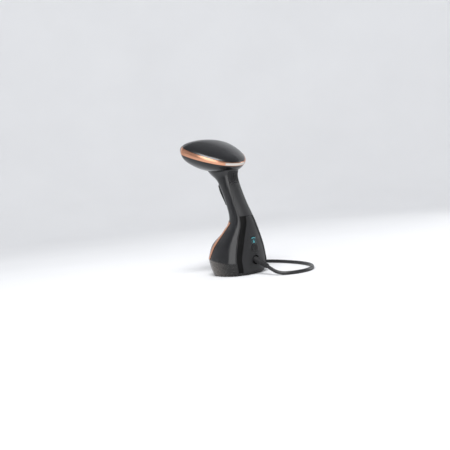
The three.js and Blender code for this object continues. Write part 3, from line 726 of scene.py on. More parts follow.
# ---------------------------------------------------------------- mains lead
@dataclass
class Lead:
    """The mains lead: strain relief, the run on the floor, the tied coil and the plug."""

    diameter: float = 7.0
    length: float = 2.12
    foot: Point = (0.0, 54.0, 31.0)
    drop: float = 21.0
    relief: float = 38.0
    route: tuple[Point, ...] = (
        (0, 99, 12.6), (-2, 112, 6.8), (-8, 124, 4), (-20, 135, 3.5), (-38, 142, 3.5),
        (-60, 142, 3.5), (-84, 131, 3.5), (-106, 108, 3.5), (-118, 84, 3.5), (-125, 56, 3.5),
        (-128, 26, 3.5), (-128, -4, 3.5), (-124, -30, 3.5), (-121, -47, 3.5), (-120, -63, 3.5),
    )
    tail: tuple[Point, ...] = ((-120, -121, 18.5), (-120, -133, 12.6), (-120, -142, 9.8), (-120, -150, 9))
    coil: tuple[float, float] = (-78.0, -92.0)
    radii: tuple[float, float] = (42.0, 35.0)
    turns: int = 7
    first_change: float = 300.0
    change_every: float = 315.0
    change_span: float = 42.0
    plug: Point = (-120.0, -150.9, 9.0)
    pins: float = 19.0
    plug_neck: float = 20.0
    plug_stations: tuple[Point, ...] = (
        (0, 4.4, 4.4), (2.5, 4.9, 4.9), (6, 5.0, 5.0), (6.6, 4.3, 4.3), (8, 4.4, 4.4), (8.6, 5.5, 5.5),
        (12, 5.7, 5.7), (12.6, 4.9, 4.9), (14, 5.0, 5.0), (14.6, 6.2, 6.2), (19, 6.6, 6.6), (22, 8.6, 7.4),
        (27, 12.0, 8.5), (34, 12.6, 8.6), (42, 11.4, 8.0), (49, 12.2, 8.5), (54, 13.3, 8.9),
        (56.4, 13.3, 8.9), (57, 12.8, 8.4),
    )

    def frame_of(self) -> Matrix:
        """The strain relief's frame: its z runs out along the lead."""
        return tipped(self.foot, -radians(90 + self.drop))

    def recess(self) -> Piece:
        """The round recess that the strain relief stands in."""
        return rod("lead_recess", 9, 16, (0, 0, 4), "z", self.frame_of())

    def wound(self) -> list[Vector]:
        """The coil's centre line, two turns wide, each change of turn a little before the last.

        Returns:
            The points, in body millimetres.
        """
        states = [(self.radii[(k + 1) // 2 % 2], k // 2) for k in range(self.turns + 1)]
        points = []
        for degree in range(0, 360 * self.turns + 1, 6):
            passed = (degree - self.first_change) / self.change_every
            step = min(floor(passed) + 1, len(states) - 1) if passed >= 0 else 0
            begun = degree - self.first_change - (step - 1) * self.change_every
            share = min(max(begun / self.change_span, 0.0), 1.0) if step else 1.0
            share = share * share * (3 - 2 * share)
            old, new = states[max(step - 1, 0)], states[step]
            radius = old[0] + (new[0] - old[0]) * share
            height = self.diameter / 2 + self.diameter * (old[1] + (new[1] - old[1]) * share)
            angle = pi + radians(degree)
            points.append(Vector((self.coil[0] + radius * cos(angle),
                                  self.coil[1] + radius * sin(angle), height)))
        return points

    def exit_point(self) -> Vector:
        """Where the lead leaves the strain relief, just inside its end."""
        way = Vector((0, cos(radians(self.drop)), -sin(radians(self.drop))))
        return Vector(self.foot) + way * (self.relief - 3.0)

    def centre_line(self) -> list[Vector]:
        """The whole lead's centre line, from the strain relief to the plug."""
        wound = self.wound()
        run = smooth_line([self.exit_point(), *self.route, wound[0]], 8)
        tail = smooth_line([wound[-1], *self.tail, self.plug], 6)
        return [*run[:-1], *wound[:-1], *tail]

    def make_cord(self) -> None:
        line = self.centre_line()
        measured = sum((b - a).length for a, b in zip(line, line[1:])) * MM
        LOG.info("mains lead measures %.3f m", measured)
        cord = swept("lead_cord", line, self.diameter / 2, 4)
        finish_piece(cord, CORD_JACKET, "rubber", "mains_cord", "cord_coil", "cord_tail")

    def make_relief(self) -> Piece:
        """The ribbed, tapered strain relief.

        Returns:
            The piece.
        """
        profile = [(0.0, -4.0), (8.4, -4.0), (8.4, -1.6), (6.5, -1.6)]
        ribs, pitch, rib = 7, 4.6, 0.9
        for k in range(ribs):
            low = 1.2 + k * pitch
            wide = 6.3 - 1.5 * low / self.relief
            profile += [(wide, low), (wide, low + 2.6), (wide - rib, low + 3.0), (wide - rib, low + 4.2)]
        profile += [(5.0, 34.2), (5.0, self.relief - 0.8), (4.4, self.relief), (3.75, self.relief),
                    (3.75, self.relief - 6), (0.0, self.relief - 6)]
        rings = [circle_ring(max(radius, 0.02), height, 48) for radius, height in profile]
        relief = wrap("strain_relief", rings)
        soften(relief, 0.25, 2, 40)
        turned(relief, self.frame_of())
        return finish_piece(relief, RUBBER, "rubber", "cord_bushing")

    def make_tie(self) -> Piece:
        """The flat tie round the coil, with its buckle.

        Returns:
            The piece.
        """
        middle_x = self.coil[0] + (self.radii[0] + self.radii[1]) / 2
        half, top, thick = 8.3, 29.4, 1.2
        y = self.coil[1]
        outer = block("cord_wrap", (2 * half + 2 * thick, 12, top), (middle_x, y, top / 2), round_by=1.0)
        cut(outer, block("tie_room", (2 * half, 40, 60), (middle_x, y, top - thick - 30)))
        cut(outer, block("buckle", (7, 13.4, 2.2), (middle_x, y, top + 0.3), round_by=0.6), "UNION")
        return finish_piece(outer, RUBBER, "rubber", "cord_tie")

    def make_plug(self) -> list[Piece]:
        """The moulded plug: a waisted grip, its ribbed sleeve and two pins.

        Returns:
            The pieces.
        """
        x, y, z = self.plug
        rings = []
        for down, wide, high in self.plug_stations:
            square = 2.0 if down < self.plug_neck else 3.2
            rings.append([Vector((x + wide * power(cos(a), 2 / square), y - down,
                                  z + high * power(sin(a), 2 / square))) for a in round_angles(48)])
        grip = wrap("mains_plug", rings)
        soften(grip, 0.3)
        pieces = [finish_piece(grip, MATT_BLACK, "matt_black", "plug_body")]
        for name, node, side in (("plug_blade_1", "plug_pin_1", 1), ("plug_blade_2", "plug_pin_2", -1)):
            low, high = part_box(node)
            middle_y = (low.y + high.y) / 2 / MM + MIDDLE_Y
            pin = rod(name, 2.4, 19.0, (x + side * self.pins / 2, middle_y, z), round_by=0.9)
            pieces.append(finish_piece(pin, BRASS, "brass", node))
        return pieces

    def build(self) -> None:
        """Builds the whole lead."""
        pieces = [self.make_relief(), self.make_tie(), *self.make_plug()]
        self.make_cord()


# ---------------------------------------------------------------- skins
def power(value: float, exponent: float) -> float:
    """A signed power."""
    return copysign(abs(value) ** exponent, value)


def between(values: Sequence[float], spot: float) -> float:
    """A smooth value between the listed ones, by Catmull-Rom.

    Args:
        values: The listed values.
        spot: A whole number is one of them, and a part lies between two.

    Returns:
        The value there.
    """
    i = min(int(spot), len(values) - 2)
    f = spot - i
    a, b, c, d = (values[min(max(k, 0), len(values) - 1)] for k in (i - 1, i, i + 1, i + 2))
    return 0.5 * (2 * b + (c - a) * f + (2 * a - 5 * b + 4 * c - d) * f**2 + (3 * b - a - 3 * c + d) * f**3)


@dataclass
class BodySkin:
    """The body's outer form, from the base up through the handle to the neck."""

    heights: Point = (1.6, 31, 60, 88, 112, 150, 193, 214, 238)
    middles: Point = (2, 2, 5, 18, 26, 13, -5, -14, -20)
    rises: Point = (0, 0.16, 0.12, 0.04, 0, -0.1, -0.2, -0.25, -0.3)
    halves: Point = (51, 58, 51.5, 36.5, 24.5, 20, 20, 25, 33)
    fronts: Point = (46, 54, 44, 29, 23, 19.5, 20, 31, 42)
    rears: Point = (50, 57, 53, 37, 25, 19.5, 22, 40, 55)
    corner: float = 2.3
    sides: int = 112
    steps: int = 9
    belt: tuple[float, float, float] = (31.0, 2.0, 0.16)
    tank_back: tuple[float, float, float] = (-27.0, 38.0, 0.586)
    tank_top: tuple[float, float] = (104.0, 0.3)
    spine: Pairs = ((4.6, 37), (32, 41), (70, 33), (112, 20), (186, 13.5))
    middle_line: Pairs = ((2, 0), (2, 40), (18, 88), (26, 112), (13, 150), (-10, 205))
    grip: tuple[float, float, float] = (186.5, 209.0, 13.2)

    def ring(self, spot: float, inset: float) -> Ring:
        """The ring at a section number, smaller all round by inset.

        Args:
            spot: The section number.
            inset: How far inside the skin it lies.

        Returns:
            The ring.
        """
        lists = (self.heights, self.middles, self.rises, self.halves, self.fronts, self.rears)
        if spot < 1:
            z, y, rise, half, front, rear = (v[0] + (v[1] - v[0]) * spot for v in lists)
            bow = 1.2 * sin(pi * spot)
            half, front, rear = half + bow, front + bow, rear + bow
        else:
            z, y, rise, half, front, rear = (between(v[1:], spot - 1) for v in lists)
        ring = []
        for angle in round_angles(self.sides):
            depth = (front if sin(angle) < 0 else rear) - inset
            back = depth * power(sin(angle), 2 / self.corner)
            across = (half - inset) * power(cos(angle), 2 / self.corner)
            ring.append(Vector((across, y + back, z - rise * back)))
        return ring

    def solid(self, name: str, inset: float) -> Piece:
        """The whole body as a solid, smaller by inset."""
        spots = [k / self.steps for k in range(self.steps * (len(self.heights) - 1) + 1)]
        rings = [self.ring(spot, inset) for spot in spots]
        if inset > 0:
            rings = [ring for ring in rings if ring[0].z > self.heights[0] + WALL]
        return wrap(name, rings)

    def shell(self, name: str, thickness: float = WALL) -> Piece:
        """The body's hollow wall."""
        return cut(self.solid(name, 0.0), self.solid("inside", thickness))

    def over_belt(self, side: int, offset: float) -> Piece:
        """The half space over (1) or under (-1) the belt, moved by offset."""
        z0, y0, rise = self.belt

        def height(y: float) -> float:
            """The belt's height at a depth."""
            return z0 - rise * (y - y0) + offset

        outline = [(-FAR, height(-FAR)), (FAR, height(FAR)), (FAR, side * FAR), (-FAR, side * FAR)]
        return slab("belt_half", outline, FAR)

    def tank_room(self, grow: float) -> Piece:
        """The tank's space, in front of a leaning plane and under a sloping one, grown by a gap."""
        y0, z0, lean = self.tank_back
        top, rise = self.tank_top
        corner = (top + grow - rise * (y0 + grow - lean * z0)) / (1 + rise * lean)
        outline = [(-FAR, -FAR), (y0 + lean * (-FAR - z0) + grow, -FAR),
                   (y0 + lean * (corner - z0) + grow, corner), (-FAR, top + grow + rise * FAR)]
        return slab("tank_room", outline, FAR)

    def spine_room(self, grow: float) -> Piece:
        """The space of the rear spine panel, grown by a gap."""
        right = [(x + grow, z) for z, x in smooth_pairs(self.spine, 6)]
        right[0] = (right[0][0], right[0][1] - grow)
        right[-1] = (right[-1][0], right[-1][1] + grow)
        left = [(-x, z) for x, z in reversed(right)]
        strip = prism("spine_room", [*right, *left], -40, 90)
        behind = slab("behind", [*self.middle_line, (FAR, 260), (FAR, 0)], FAR)
        return cut(strip, behind, "INTERSECT")

    def grip_room(self, grow: float) -> Piece:
        """The space of the neck grip, grown by a gap."""
        low, high, half = self.grip
        outline = [(-half - grow, low - grow), (half + grow, low - grow), (half + grow, high + grow),
                   (-half - grow, high + grow)]
        return prism("grip_room", outline, -12, 60)

    def rear_at(self, z: float) -> float:
        """The rear centre line's y at a height."""
        spots = (self.ring(k / 20, 0.0)[self.sides // 4] for k in range(20 * (len(self.heights) - 1)))
        return min(spots, key=lambda p: abs(p.z - z)).y


def smooth_pairs(pairs: Pairs, steps: int) -> list[tuple[float, float]]:
    """A smooth line through flat points."""
    return [(p.x, p.y) for p in smooth_line([(a, b, 0) for a, b in pairs], steps)]


@dataclass
class HeadSkin:
    """The oval head's outer form; in its frame x is across, y back from the plate and z up."""

    tip: float = 23.0
    origin: Point = (0.0, -70.0, 264.0)
    length: float = 107.0
    widest: float = 14.0
    half_width: float = 70.0
    plate_half: float = 64.0
    taper: float = 1.6
    rounding: float = 2.1
    backs: Point = (0, 6, 16, 34, 54, 72, 88, 98, 104, 106.5)
    ups: Point = (20, 21.3, 21.8, 20.8, 18.4, 15.2, 11.8, 8.8, 6, 3)
    downs: Point = (32, 34.5, 36.5, 37, 34, 29.5, 23.5, 17, 10.5, 4)
    sides: int = 112
    band: tuple[float, float] = (7.0, 3.4)
    insert_from: float = 100.5

    def frame_of(self) -> Matrix:
        """The head's frame in the body frame."""
        return tipped(self.origin, -radians(self.tip))

    def half_at(self, back: float) -> float:
        """The plan's half width at a distance from the plate."""
        if back < self.widest:
            rise = sin(max(back, 0) / self.widest * pi / 2)
            return self.plate_half + (self.half_width - self.plate_half) * rise
        share = (back - self.widest) / (self.length - self.widest)
        return self.half_width * max(0.0, 1 - share**self.taper) ** (1 / self.rounding)

    def ring(self, back: float, up: float, down: float, half: float, inset: float) -> Ring:
        """One upright ring of the head.

        Args:
            back: Its distance from the plate.
            up: Its height over the middle.
            down: Its depth under it.
            half: Its half width.
            inset: How far inside the skin it lies.

        Returns:
            The ring.
        """
        ring = []
        for angle in round_angles(self.sides):
            height = (down if sin(angle) < 0 else up) - inset
            ring.append(Vector(((half - inset) * cos(angle), back, height * sin(angle))))
        return ring

    def front_ring(self, back: float, inset: float) -> Ring:
        """The front opening's ring, moved along the head."""
        return self.ring(back, self.ups[0], self.downs[0], self.plate_half, inset)

    def solid(self, name: str, inset: float, ahead: float = 0.0) -> Piece:
        """The head as a solid, smaller by inset, its front reaching forward by ahead."""
        rings = [self.front_ring(-ahead, inset)] if ahead else []
        last = len(self.backs) - 1
        count = 72
        for k in range(count + 1):
            spot = last * (1 - (1 - k / count) ** 1.25)
            back, up, down = (between(v, spot) for v in (self.backs, self.ups, self.downs))
            half = self.half_at(back)
            if min(up, down, half) < inset + 0.6:
                continue
            rings.append(self.ring(back - max(inset, 0) * back / self.length, up, down, half, inset))
        end = rings[-1]
        for share, push in ((0.8, 0.25), (0.45, 0.42), (0.1, 0.5)):
            middle = sum(end, Vector()) / len(end)
            rings.append([middle + (p - middle) * share + Vector((0, push, 0)) for p in end])
        return turned(wrap(name, rings), self.frame_of())

    def band_room(self, grow: float) -> Piece:
        """The wedge that holds the band, thicker at the plate than behind."""
        front, rear = self.band
        slope = (rear - front) / self.length
        low, high = front - 20 * slope + grow, front + 130 * slope + grow
        room = slab("band_room", [(-20, low), (130, high), (130, -high), (-20, -low)], 200)
        return turned(room, self.frame_of())

    def room(self) -> Piece:
        """The space that the head takes from the neck's pieces."""
        return self.solid("head_room", -GAP, 12)

    def shell(self, name: str, proud: float = 0.0) -> Piece:
        """The head's hollow wall, open at the plate and raised by proud."""
        return cut(self.solid(name, -proud), self.solid("inside", WALL, 5.0))

    def behind(self, back: float, side: int) -> Piece:
        """The half space behind (1) or before (-1) a distance from the plate."""
        return block("behind_room", (300, 200, 300), (0, back + side * 100, 0), self.frame_of())

    def disc(self, name: str, inset: float, low: float, high: float, rim: float = 0.0) -> Piece:
        """An oval disc that faces the plate's way, with a rounded front rim."""
        rings = [self.front_ring(low + rim * (1 - sin(a)), inset + rim * (1 - cos(a)))
                 for a in (pi / 2 * (1 - k / 5) for k in range(6))] if rim else [self.front_ring(low, inset)]
        return turned(wrap(name, [*rings, self.front_ring(high, inset)]), self.frame_of())


BODY = BodySkin()
HEAD = HeadSkin()


# ---------------------------------------------------------------- head
@dataclass
class Head:
    """The steam head: two gloss shells, the metal band between them, and the steam plate."""

    frame_inset: float = 9.0
    plate_front: float = -7.5
    plate_back: float = -2.0
    hole: float = 1.7
    sink: tuple[float, float, float] = (0.4, 3.4, 3.0)
    holes_middle: float = -6.0
    hole_rings: tuple[tuple[float, float, int, float], ...] = ((44, 11, 10, 0.5), (22, 0, 2, 0.0))
    band_proud: float = 0.7
    insert_proud: float = 1.8
    rim_proud: float = 0.9

    def make_shells(self) -> None:
        """Builds the upper and lower shells."""
        for name, node, side in (("head_dome", "head_upper_shell", 1), ("head_chin", "head_lower_shell", -1)):
            shell = HEAD.shell(name)
            half = block("half", (300, 400, 100), (0, 50, side * 50), HEAD.frame_of())
            cut(half, HEAD.band_room(GAP))
            cut(shell, half, "INTERSECT")
            if side < 0:
                cut(shell, BODY.solid("neck_hole", WALL + 1.5))
            soften(shell, 0.5)
            finish_piece(shell, HEAD_BLACK, "gloss_black", node)

    def make_band(self) -> None:
        """Builds the two copper bands and the chrome insert in its copper rim."""
        for end, side in (("left", 1), ("right", -1)):
            band = HEAD.shell(f"band_{end}", self.band_proud)
            cut(band, HEAD.band_room(0.0), "INTERSECT")
            cut(band, HEAD.behind(HEAD.insert_from, -1), "INTERSECT")
            cut(band, HEAD.behind(0.0, 1), "INTERSECT")
            cut(band, block("half", (100, 400, 100), (side * 50, 0, 0), HEAD.frame_of()), "INTERSECT")
            soften(band, 0.9, 4)
            finish_piece(band, COPPER, "copper", f"copper_band_{end}")
        insert = HEAD.shell("tail_insert", self.insert_proud)
        cut(insert, HEAD.band_room(-0.9), "INTERSECT")
        cut(insert, HEAD.behind(HEAD.insert_from + GAP, 1), "INTERSECT")
        soften(insert, 1.1, 5)
        finish_piece(insert, CHROME, "chrome", "chrome_insert")
        rim = HEAD.shell("insert_rim", self.rim_proud)
        cut(rim, HEAD.band_room(-0.05), "INTERSECT")
        cut(rim, HEAD.behind(HEAD.insert_from + GAP, 1), "INTERSECT")
        cut(rim, HEAD.band_room(-0.8))
        for count, piece in enumerate(split(rim)):
            piece.name = f"insert_rim_{count + 1}"
            soften(piece, 0.2)
            finish_piece(piece, COPPER, "chrome")

    def holes(self) -> list[tuple[float, float]]:
        """The steam holes' places on the plate: an outer ring and two inside it."""
        return [(across * cos(a), self.holes_middle + high * sin(a))
                for across, high, count, shift in self.hole_rings for a in round_angles(count, shift)]

    def make_plate(self) -> None:
        """Builds the plate's frame and the steam plate with its countersunk holes."""
        profile = ((-0.35, 0.2), (-2, 0.6), (-4.0, 1.5), (-5.2, 2.8), (-6.1, 4.3), (-6.5, 6.0))
        rings = [HEAD.front_ring(low, inset) for low, inset in profile]
        bezel = turned(wrap("plate_bezel", rings), HEAD.frame_of())
        cut(bezel, HEAD.disc("opening", self.frame_inset, -20, 20))
        soften(bezel, 0.4)
        finish_piece(bezel, MATT_BLACK, "matt_black", "plate_frame")
        plate = HEAD.disc("steam_face", self.frame_inset + GAP, self.plate_front, self.plate_back, 1.6)
        frame_of = HEAD.frame_of()
        point, mouth, depth = self.sink
        for x, z in self.holes():
            cut(plate, rod("hole", self.hole, 20, (x, self.plate_back, z), "y", frame_of, sides=24))
            middle = (x, self.plate_front + 0.2, z)
            cut(plate, rod("sink", point, depth, middle, "y", frame_of, sides=24, far_radius=mouth))
        finish_piece(plate, PLATE, "plate_metal", "steam_plate")

    def build(self) -> None:
        """Builds the head."""
        self.make_shells()
        self.make_band()
        self.make_plate()


def split(piece: Piece) -> list[Piece]:
    """Parts a piece into its loose bodies."""
    choose(piece)
    bpy.ops.object.mode_set(mode="EDIT")
    bpy.ops.mesh.select_all(action="SELECT")
    bpy.ops.mesh.separate(type="LOOSE")
    bpy.ops.object.mode_set(mode="OBJECT")
    return sorted(bpy.context.selected_objects, key=lambda o: (o.bound_box[0][2], o.name))


# ---------------------------------------------------------------- handle and base
HANDLE_FRAME = tipped(HANDLE_AT, radians(HANDLE_LEAN))


@dataclass
class Shells:
    """The two gloss halves of the handle and base, with their cross screws."""

    screws: Pairs = ((-2.0, -24.0), (4.0, 34.0))
    trim_gap: float = 9.2
    release_z: float = 120.0
    screw_head: tuple[float, float, float] = (2.8, 2.2, -18.4)
    screw_shank: tuple[float, float, float] = (1.5, 27.0, -5.0)

    def make_screw(self, name: str, y: float, z: float, node: str) -> None:
        """One cross screw with its slotted head.

        Args:
            name: The piece's name.
            y: Its place in the handle frame.
            z: Its place in the handle frame.
            node: The CAD node that it replaces.
        """
        radius, height, x = self.screw_head
        screw = rod(name, radius, height, (x, y, z), "x", HANDLE_FRAME, 0.4, 32)
        for size in ((1.6, 3.6, 0.7), (1.6, 0.7, 3.6)):
            cut(screw, block("slot", size, (x - 1.0, y, z), HANDLE_FRAME))
        radius, length, x = self.screw_shank
        cut(screw, rod("shank", radius, length, (x, y, z), "x", HANDLE_FRAME, 0.3, 24), "UNION")
        finish_piece(screw, STEEL, "steel", node)

    def build(self) -> None:
        """Builds both halves and the screws."""
        shell = BODY.shell("shell")
        cut(shell, BODY.over_belt(1, GAP), "INTERSECT")
        cut(shell, BODY.spine_room(GAP))
        cut(shell, BODY.grip_room(GAP))
        cut(shell, BODY.tank_room(self.trim_gap))
        cut(shell, HEAD.room())
        cut(shell, block("trigger_room", (20.2, 50, 54), (0, -30, 24), HANDLE_FRAME))
        cut(shell, block("release_room", (15, 30, 10), (0, 0, self.release_z), round_by=2.0))
        for y, z in self.screws:
            cut(shell, rod("screw_room", 3.1, 3, (-19.0, y, z), "x", HANDLE_FRAME, sides=32))
            cut(shell, rod("screw_room", 1.8, 30, (-5, y, z), "x", HANDLE_FRAME, sides=24))
        for end, side in (("left", 1), ("right", -1)):
            half = copied(shell, f"shell_{end}")
            cut(half, block("half", (FAR, FAR, 2 * FAR), (side * (FAR + GAP) / 2, 0, 0)), "INTERSECT")
            half = keep_largest(half, f"shell_{end}")
            soften(half, 0.35)
            finish_piece(half, GLOSS_BLACK, "gloss_black", f"body_shell_{end}")
        bpy.data.objects.remove(shell)
        for count, (y, z) in enumerate(self.screws, 1):
            self.make_screw(f"handle_screw_{count}", y, z, f"shell_screw_{count}")


def keep_largest(piece: Piece, name: str) -> Piece:
    """Keeps the body of a piece that has most faces and drops the slivers."""
    bodies = sorted(split(piece), key=lambda o: len(o.data.polygons))
    kept = bodies.pop()
    for sliver in bodies:
        bpy.data.objects.remove(sliver)
    kept.name = name
    return kept


@dataclass
class Spine:
    """The matt rear panel with its sunken borders lined with painted shade, the controls on it, and the
    ribbed neck grip.
    """

    button_z: float = 52.0
    button_radius: float = 7.5
    lens_z: float = 68.5
    lens_size: tuple[float, float] = (14.0, 14.4)
    board_y: float = 46.0
    raised: Pairs = ((-5, 27), (6, 27.5), (32, 31), (70, 21), (100, 11), (117, 7))
    border_top: float = 118.0
    edge: float = 0.9
    border_depth: float = 1.1
    groove_depth: float = 0.9
    grooves: tuple[float, ...] = (-7.5, -2.5, 2.5, 7.5)
    sign_drop: tuple[float, float] = (2.1, -3.6)
    arc_outer: tuple[float, float] = (8.2, -2.6)
    arc_inner: tuple[float, float] = (6.9, -2.6)

    def border_room(self, low: float, high: float) -> Piece:
        """Makes the space of the sunken border between two depths under the body's surface.

        Args:
            low: The smaller depth.
            high: The larger depth.

        Returns:
            The space round the raised middle, inside the panel's edge.
        """
        room = cut(BODY.solid("border", low), BODY.solid("inside", high))
        pairs = smooth_pairs(self.raised, 4)
        outline = [(x, z) for z, x in pairs] + [(-x, z) for z, x in reversed(pairs)]
        cut(room, prism("raised_middle", outline, -20, 200))
        cut(room, block("low_room", (300, 300, 300), (0, 0, -144)))
        cut(room, block("high_room", (300, 300, 300), (0, 0, self.border_top + 150)))
        return cut(room, BODY.spine_room(-self.edge), "INTERSECT")

    def make_panel(self) -> None:
        """Builds the rear panel: its sunken border, the button and lens rooms and the lead's recess, and a
        near-black sheet of painted shade in the border.
        """
        panel = cut(BODY.shell("rear_panel"), BODY.spine_room(0.0), "INTERSECT")
        cut(panel, HEAD.room())
        cut(panel, self.border_room(-1.0, self.border_depth))
        y = BODY.rear_at(self.button_z)
        cut(panel, rod("button_room", self.button_radius + 0.5, 30, (0, y, self.button_z)))
        cut(panel, block("lens_room", (self.lens_size[0] + 0.7, 30, self.lens_size[1] + 0.7),
                         (0, BODY.rear_at(self.lens_z), self.lens_z), round_by=2.0))
        cut(panel, Lead().recess())
        panel = keep_largest(panel, "rear_panel")
        soften(panel, 0.4)
        finish_piece(panel, PANEL_BLACK, "matt_black", "rear_spine")
        # Painted shade: a near-black sheet at the bottom of the sunken border, which stands for the shade
        # there.
        painted_shade_sheet = self.border_room(self.border_depth - 0.05, self.border_depth + 0.5)
        cut(painted_shade_sheet, Lead().recess())
        finish_piece(painted_shade_sheet, PAINTED_SHADE_BLACK, "matt_black")

    def make_button(self) -> None:
        """Builds the power button with its dished face and the raised ring round it."""
        back = self.board_y + 7.4
        button = rod("power_key", self.button_radius, 30, (0, back + 15, self.button_z))
        cut(button, BODY.solid("proud", -0.9), "INTERSECT")
        y = BODY.rear_at(self.button_z)
        cut(button, rod("dish", 5.6, 3.0, (0, y + 1.9, self.button_z), round_by=1.2))
        soften(button, 0.6, 3)
        finish_piece(button, MATT_BLACK, "matt_black", "power_button", body="power_button")
        ring = rod("key_ring", self.button_radius + 2.2, 3.0, (0, y - 0.2, self.button_z))
        cut(ring, rod("ring_room", self.button_radius + 0.5, 30, (0, y, self.button_z)))
        cut(ring, BODY.solid("proud", -0.8), "INTERSECT")
        cut(ring, BODY.solid("under", 0.02))
        soften(ring, 0.25)
        finish_piece(ring, GLOSS_BLACK, "matt_black")

    def make_lens(self) -> None:
        """Builds the dark lens and the lit steam sign under its face: a drop below an arc."""
        wide, high = self.lens_size
        y = BODY.rear_at(self.lens_z)
        lens = block("sign_lens", (wide, 30, high), (0, self.board_y + 20, self.lens_z), round_by=2.0)
        cut(lens, BODY.solid("proud", 0.0), "INTERSECT")
        soften(lens, 0.3)
        finish_piece(lens, LENS, "lens", "indicator_lens")
        drop_outline = [(0.0, 1.4)]
        drop_outline += arc(self.sign_drop, 40, -220)
        arc_outline = [*arc(self.arc_outer, 50, 130), *arc(self.arc_inner, 130, 50)]
        for name, outline in (("sign_drop", drop_outline), ("sign_arc", arc_outline)):
            sign = prism(name, [(x, z + self.lens_z) for x, z in outline], y - 4, y + 4)
            cut(sign, BODY.solid("proud", -0.12), "INTERSECT")
            cut(sign, BODY.solid("under", 0.2))
            finish_piece(sign, TEAL_LIGHT, "lens")

    def make_grip(self) -> None:
        """Builds the neck grip with its upright ribs."""
        grip = cut(BODY.shell("ribbed_grip"), BODY.grip_room(0.0), "INTERSECT")
        cut(grip, HEAD.room())
        for x in self.grooves:
            groove = block("groove", (1.8, 80, 17.5), (x, 10, 198), round_by=0.4)
            cut(groove, BODY.solid("under", self.groove_depth))
            cut(grip, groove)
        grip = keep_largest(grip, "ribbed_grip")
        soften(grip, 0.3)
        finish_piece(grip, RUBBER, "rubber", "neck_grip")

    def build(self) -> None:
        """Builds the panel and what is on it."""
        self.make_panel()
        self.make_button()
        self.make_lens()
        self.make_grip()


def arc(circle: tuple[float, float], first: float, last: float, steps: int = 12) -> list[tuple[float, float]]:
    """Points on an arc between two angles in degrees, from a circle's radius and middle height."""
    radius, middle = circle
    angles = [radians(first + (last - first) * k / steps) for k in range(steps + 1)]
    return [(radius * cos(a), radius * sin(a) + middle) for a in angles]


@dataclass
class Base:
    """The smoked skirt under the belt, the sole, its screws, and the hoses inside."""

    screws: Pairs = ((33.0, -27.0), (-33.0, -27.0), (33.0, 29.0), (-33.0, 29.0))
    sole: tuple[float, float] = (46.0, 42.0)
    sole_height: float = 1.25
    hose_radius: float = 3.0
    inlet: tuple[Point, ...] = ((0, 2.1, 47), (0, 7, 45.6), (0, 10.2, 41.5), (0, 11, 36))
    outlet: tuple[Point, ...] = (
        (11, 11, 36), (11, 13, 52), (9, 22, 78), (5, 31, 102), (1, 35, 124), (0, 22.5, 153), (0, 7.5, 190),
        (0, -3, 208), (0, -18, 225), (0, -36, 238.6), (0, -49.1, 244.5),
    )

    def make_skirt(self) -> None:
        """Builds the skirt with its rounded lower edge."""
        skirt = cut(BODY.shell("skirt"), BODY.over_belt(-1, 0.0), "INTERSECT")
        cut(skirt, BODY.spine_room(GAP))
        cut(skirt, Lead().recess())
        for x, y in self.screws:
            cut(skirt, rod("screw_room", 3.5, 2.4, (x, y, 2.0), "z", sides=32))
            cut(skirt, rod("screw_room", 1.8, 8, (x, y, 5.2), "z", sides=24))
        skirt = keep_largest(skirt, "skirt")
        soften(skirt, 0.5)
        finish_piece(skirt, SMOKED, "smoked", "base_cover")

    def make_sole(self) -> None:
        """Builds the soft sole with its screw holes and a shallow tread."""
        wide, deep = self.sole
        rings = []
        for height, inset in ((0.0, 0.5), (0.15, 0.12), (0.4, 0.0), (self.sole_height, 0.0)):
            rings.append([Vector(((wide - inset) * cos(a), 2 + (deep - inset) * sin(a), height))
                          for a in round_angles(96)])
        sole = wrap("sole", rings)
        for x, y in self.screws:
            cut(sole, rod("screw_room", 4, 10, (x, y, 0), "z", sides=32))
        for line in range(-3, 4):
            cut(sole, block("tread", (44, 1.2, 0.6), (0, 2 + 7.5 * line, 0.1)))
        finish_piece(sole, RUBBER, "rubber", "base_pad")
        for count, (x, y) in enumerate(self.screws, 1):
            screw = rod(f"sole_screw_{count}", 3.2, 1.2, (x, y, 2.4), "z", round_by=0.25, sides=32)
            for size in ((3.8, 0.8, 0.8), (0.8, 3.8, 0.8)):
                cut(screw, block("slot", size, (x, y, 1.9)))
            cut(screw, rod("shank", 1.5, 6.2, (x, y, 5.2), "z", sides=24), "UNION")
            finish_piece(screw, STEEL, "steel", f"base_screw_{count}")

    def make_hoses(self) -> None:
        """Builds the two soft hoses as smooth tubes."""
        routes = (("water_hose", "inlet_hose", self.inlet), ("steam_pipe", "steam_hose", self.outlet))
        for name, node, route in routes:
            hose = as_mesh(swept(name, smooth_line(route, 6), self.hose_radius, 4))
            finish_piece(hose, SILICONE, "silicone", node)

    def build(self) -> None:
        """Builds the base."""
        self.make_skirt()
        self.make_sole()
        self.make_hoses()


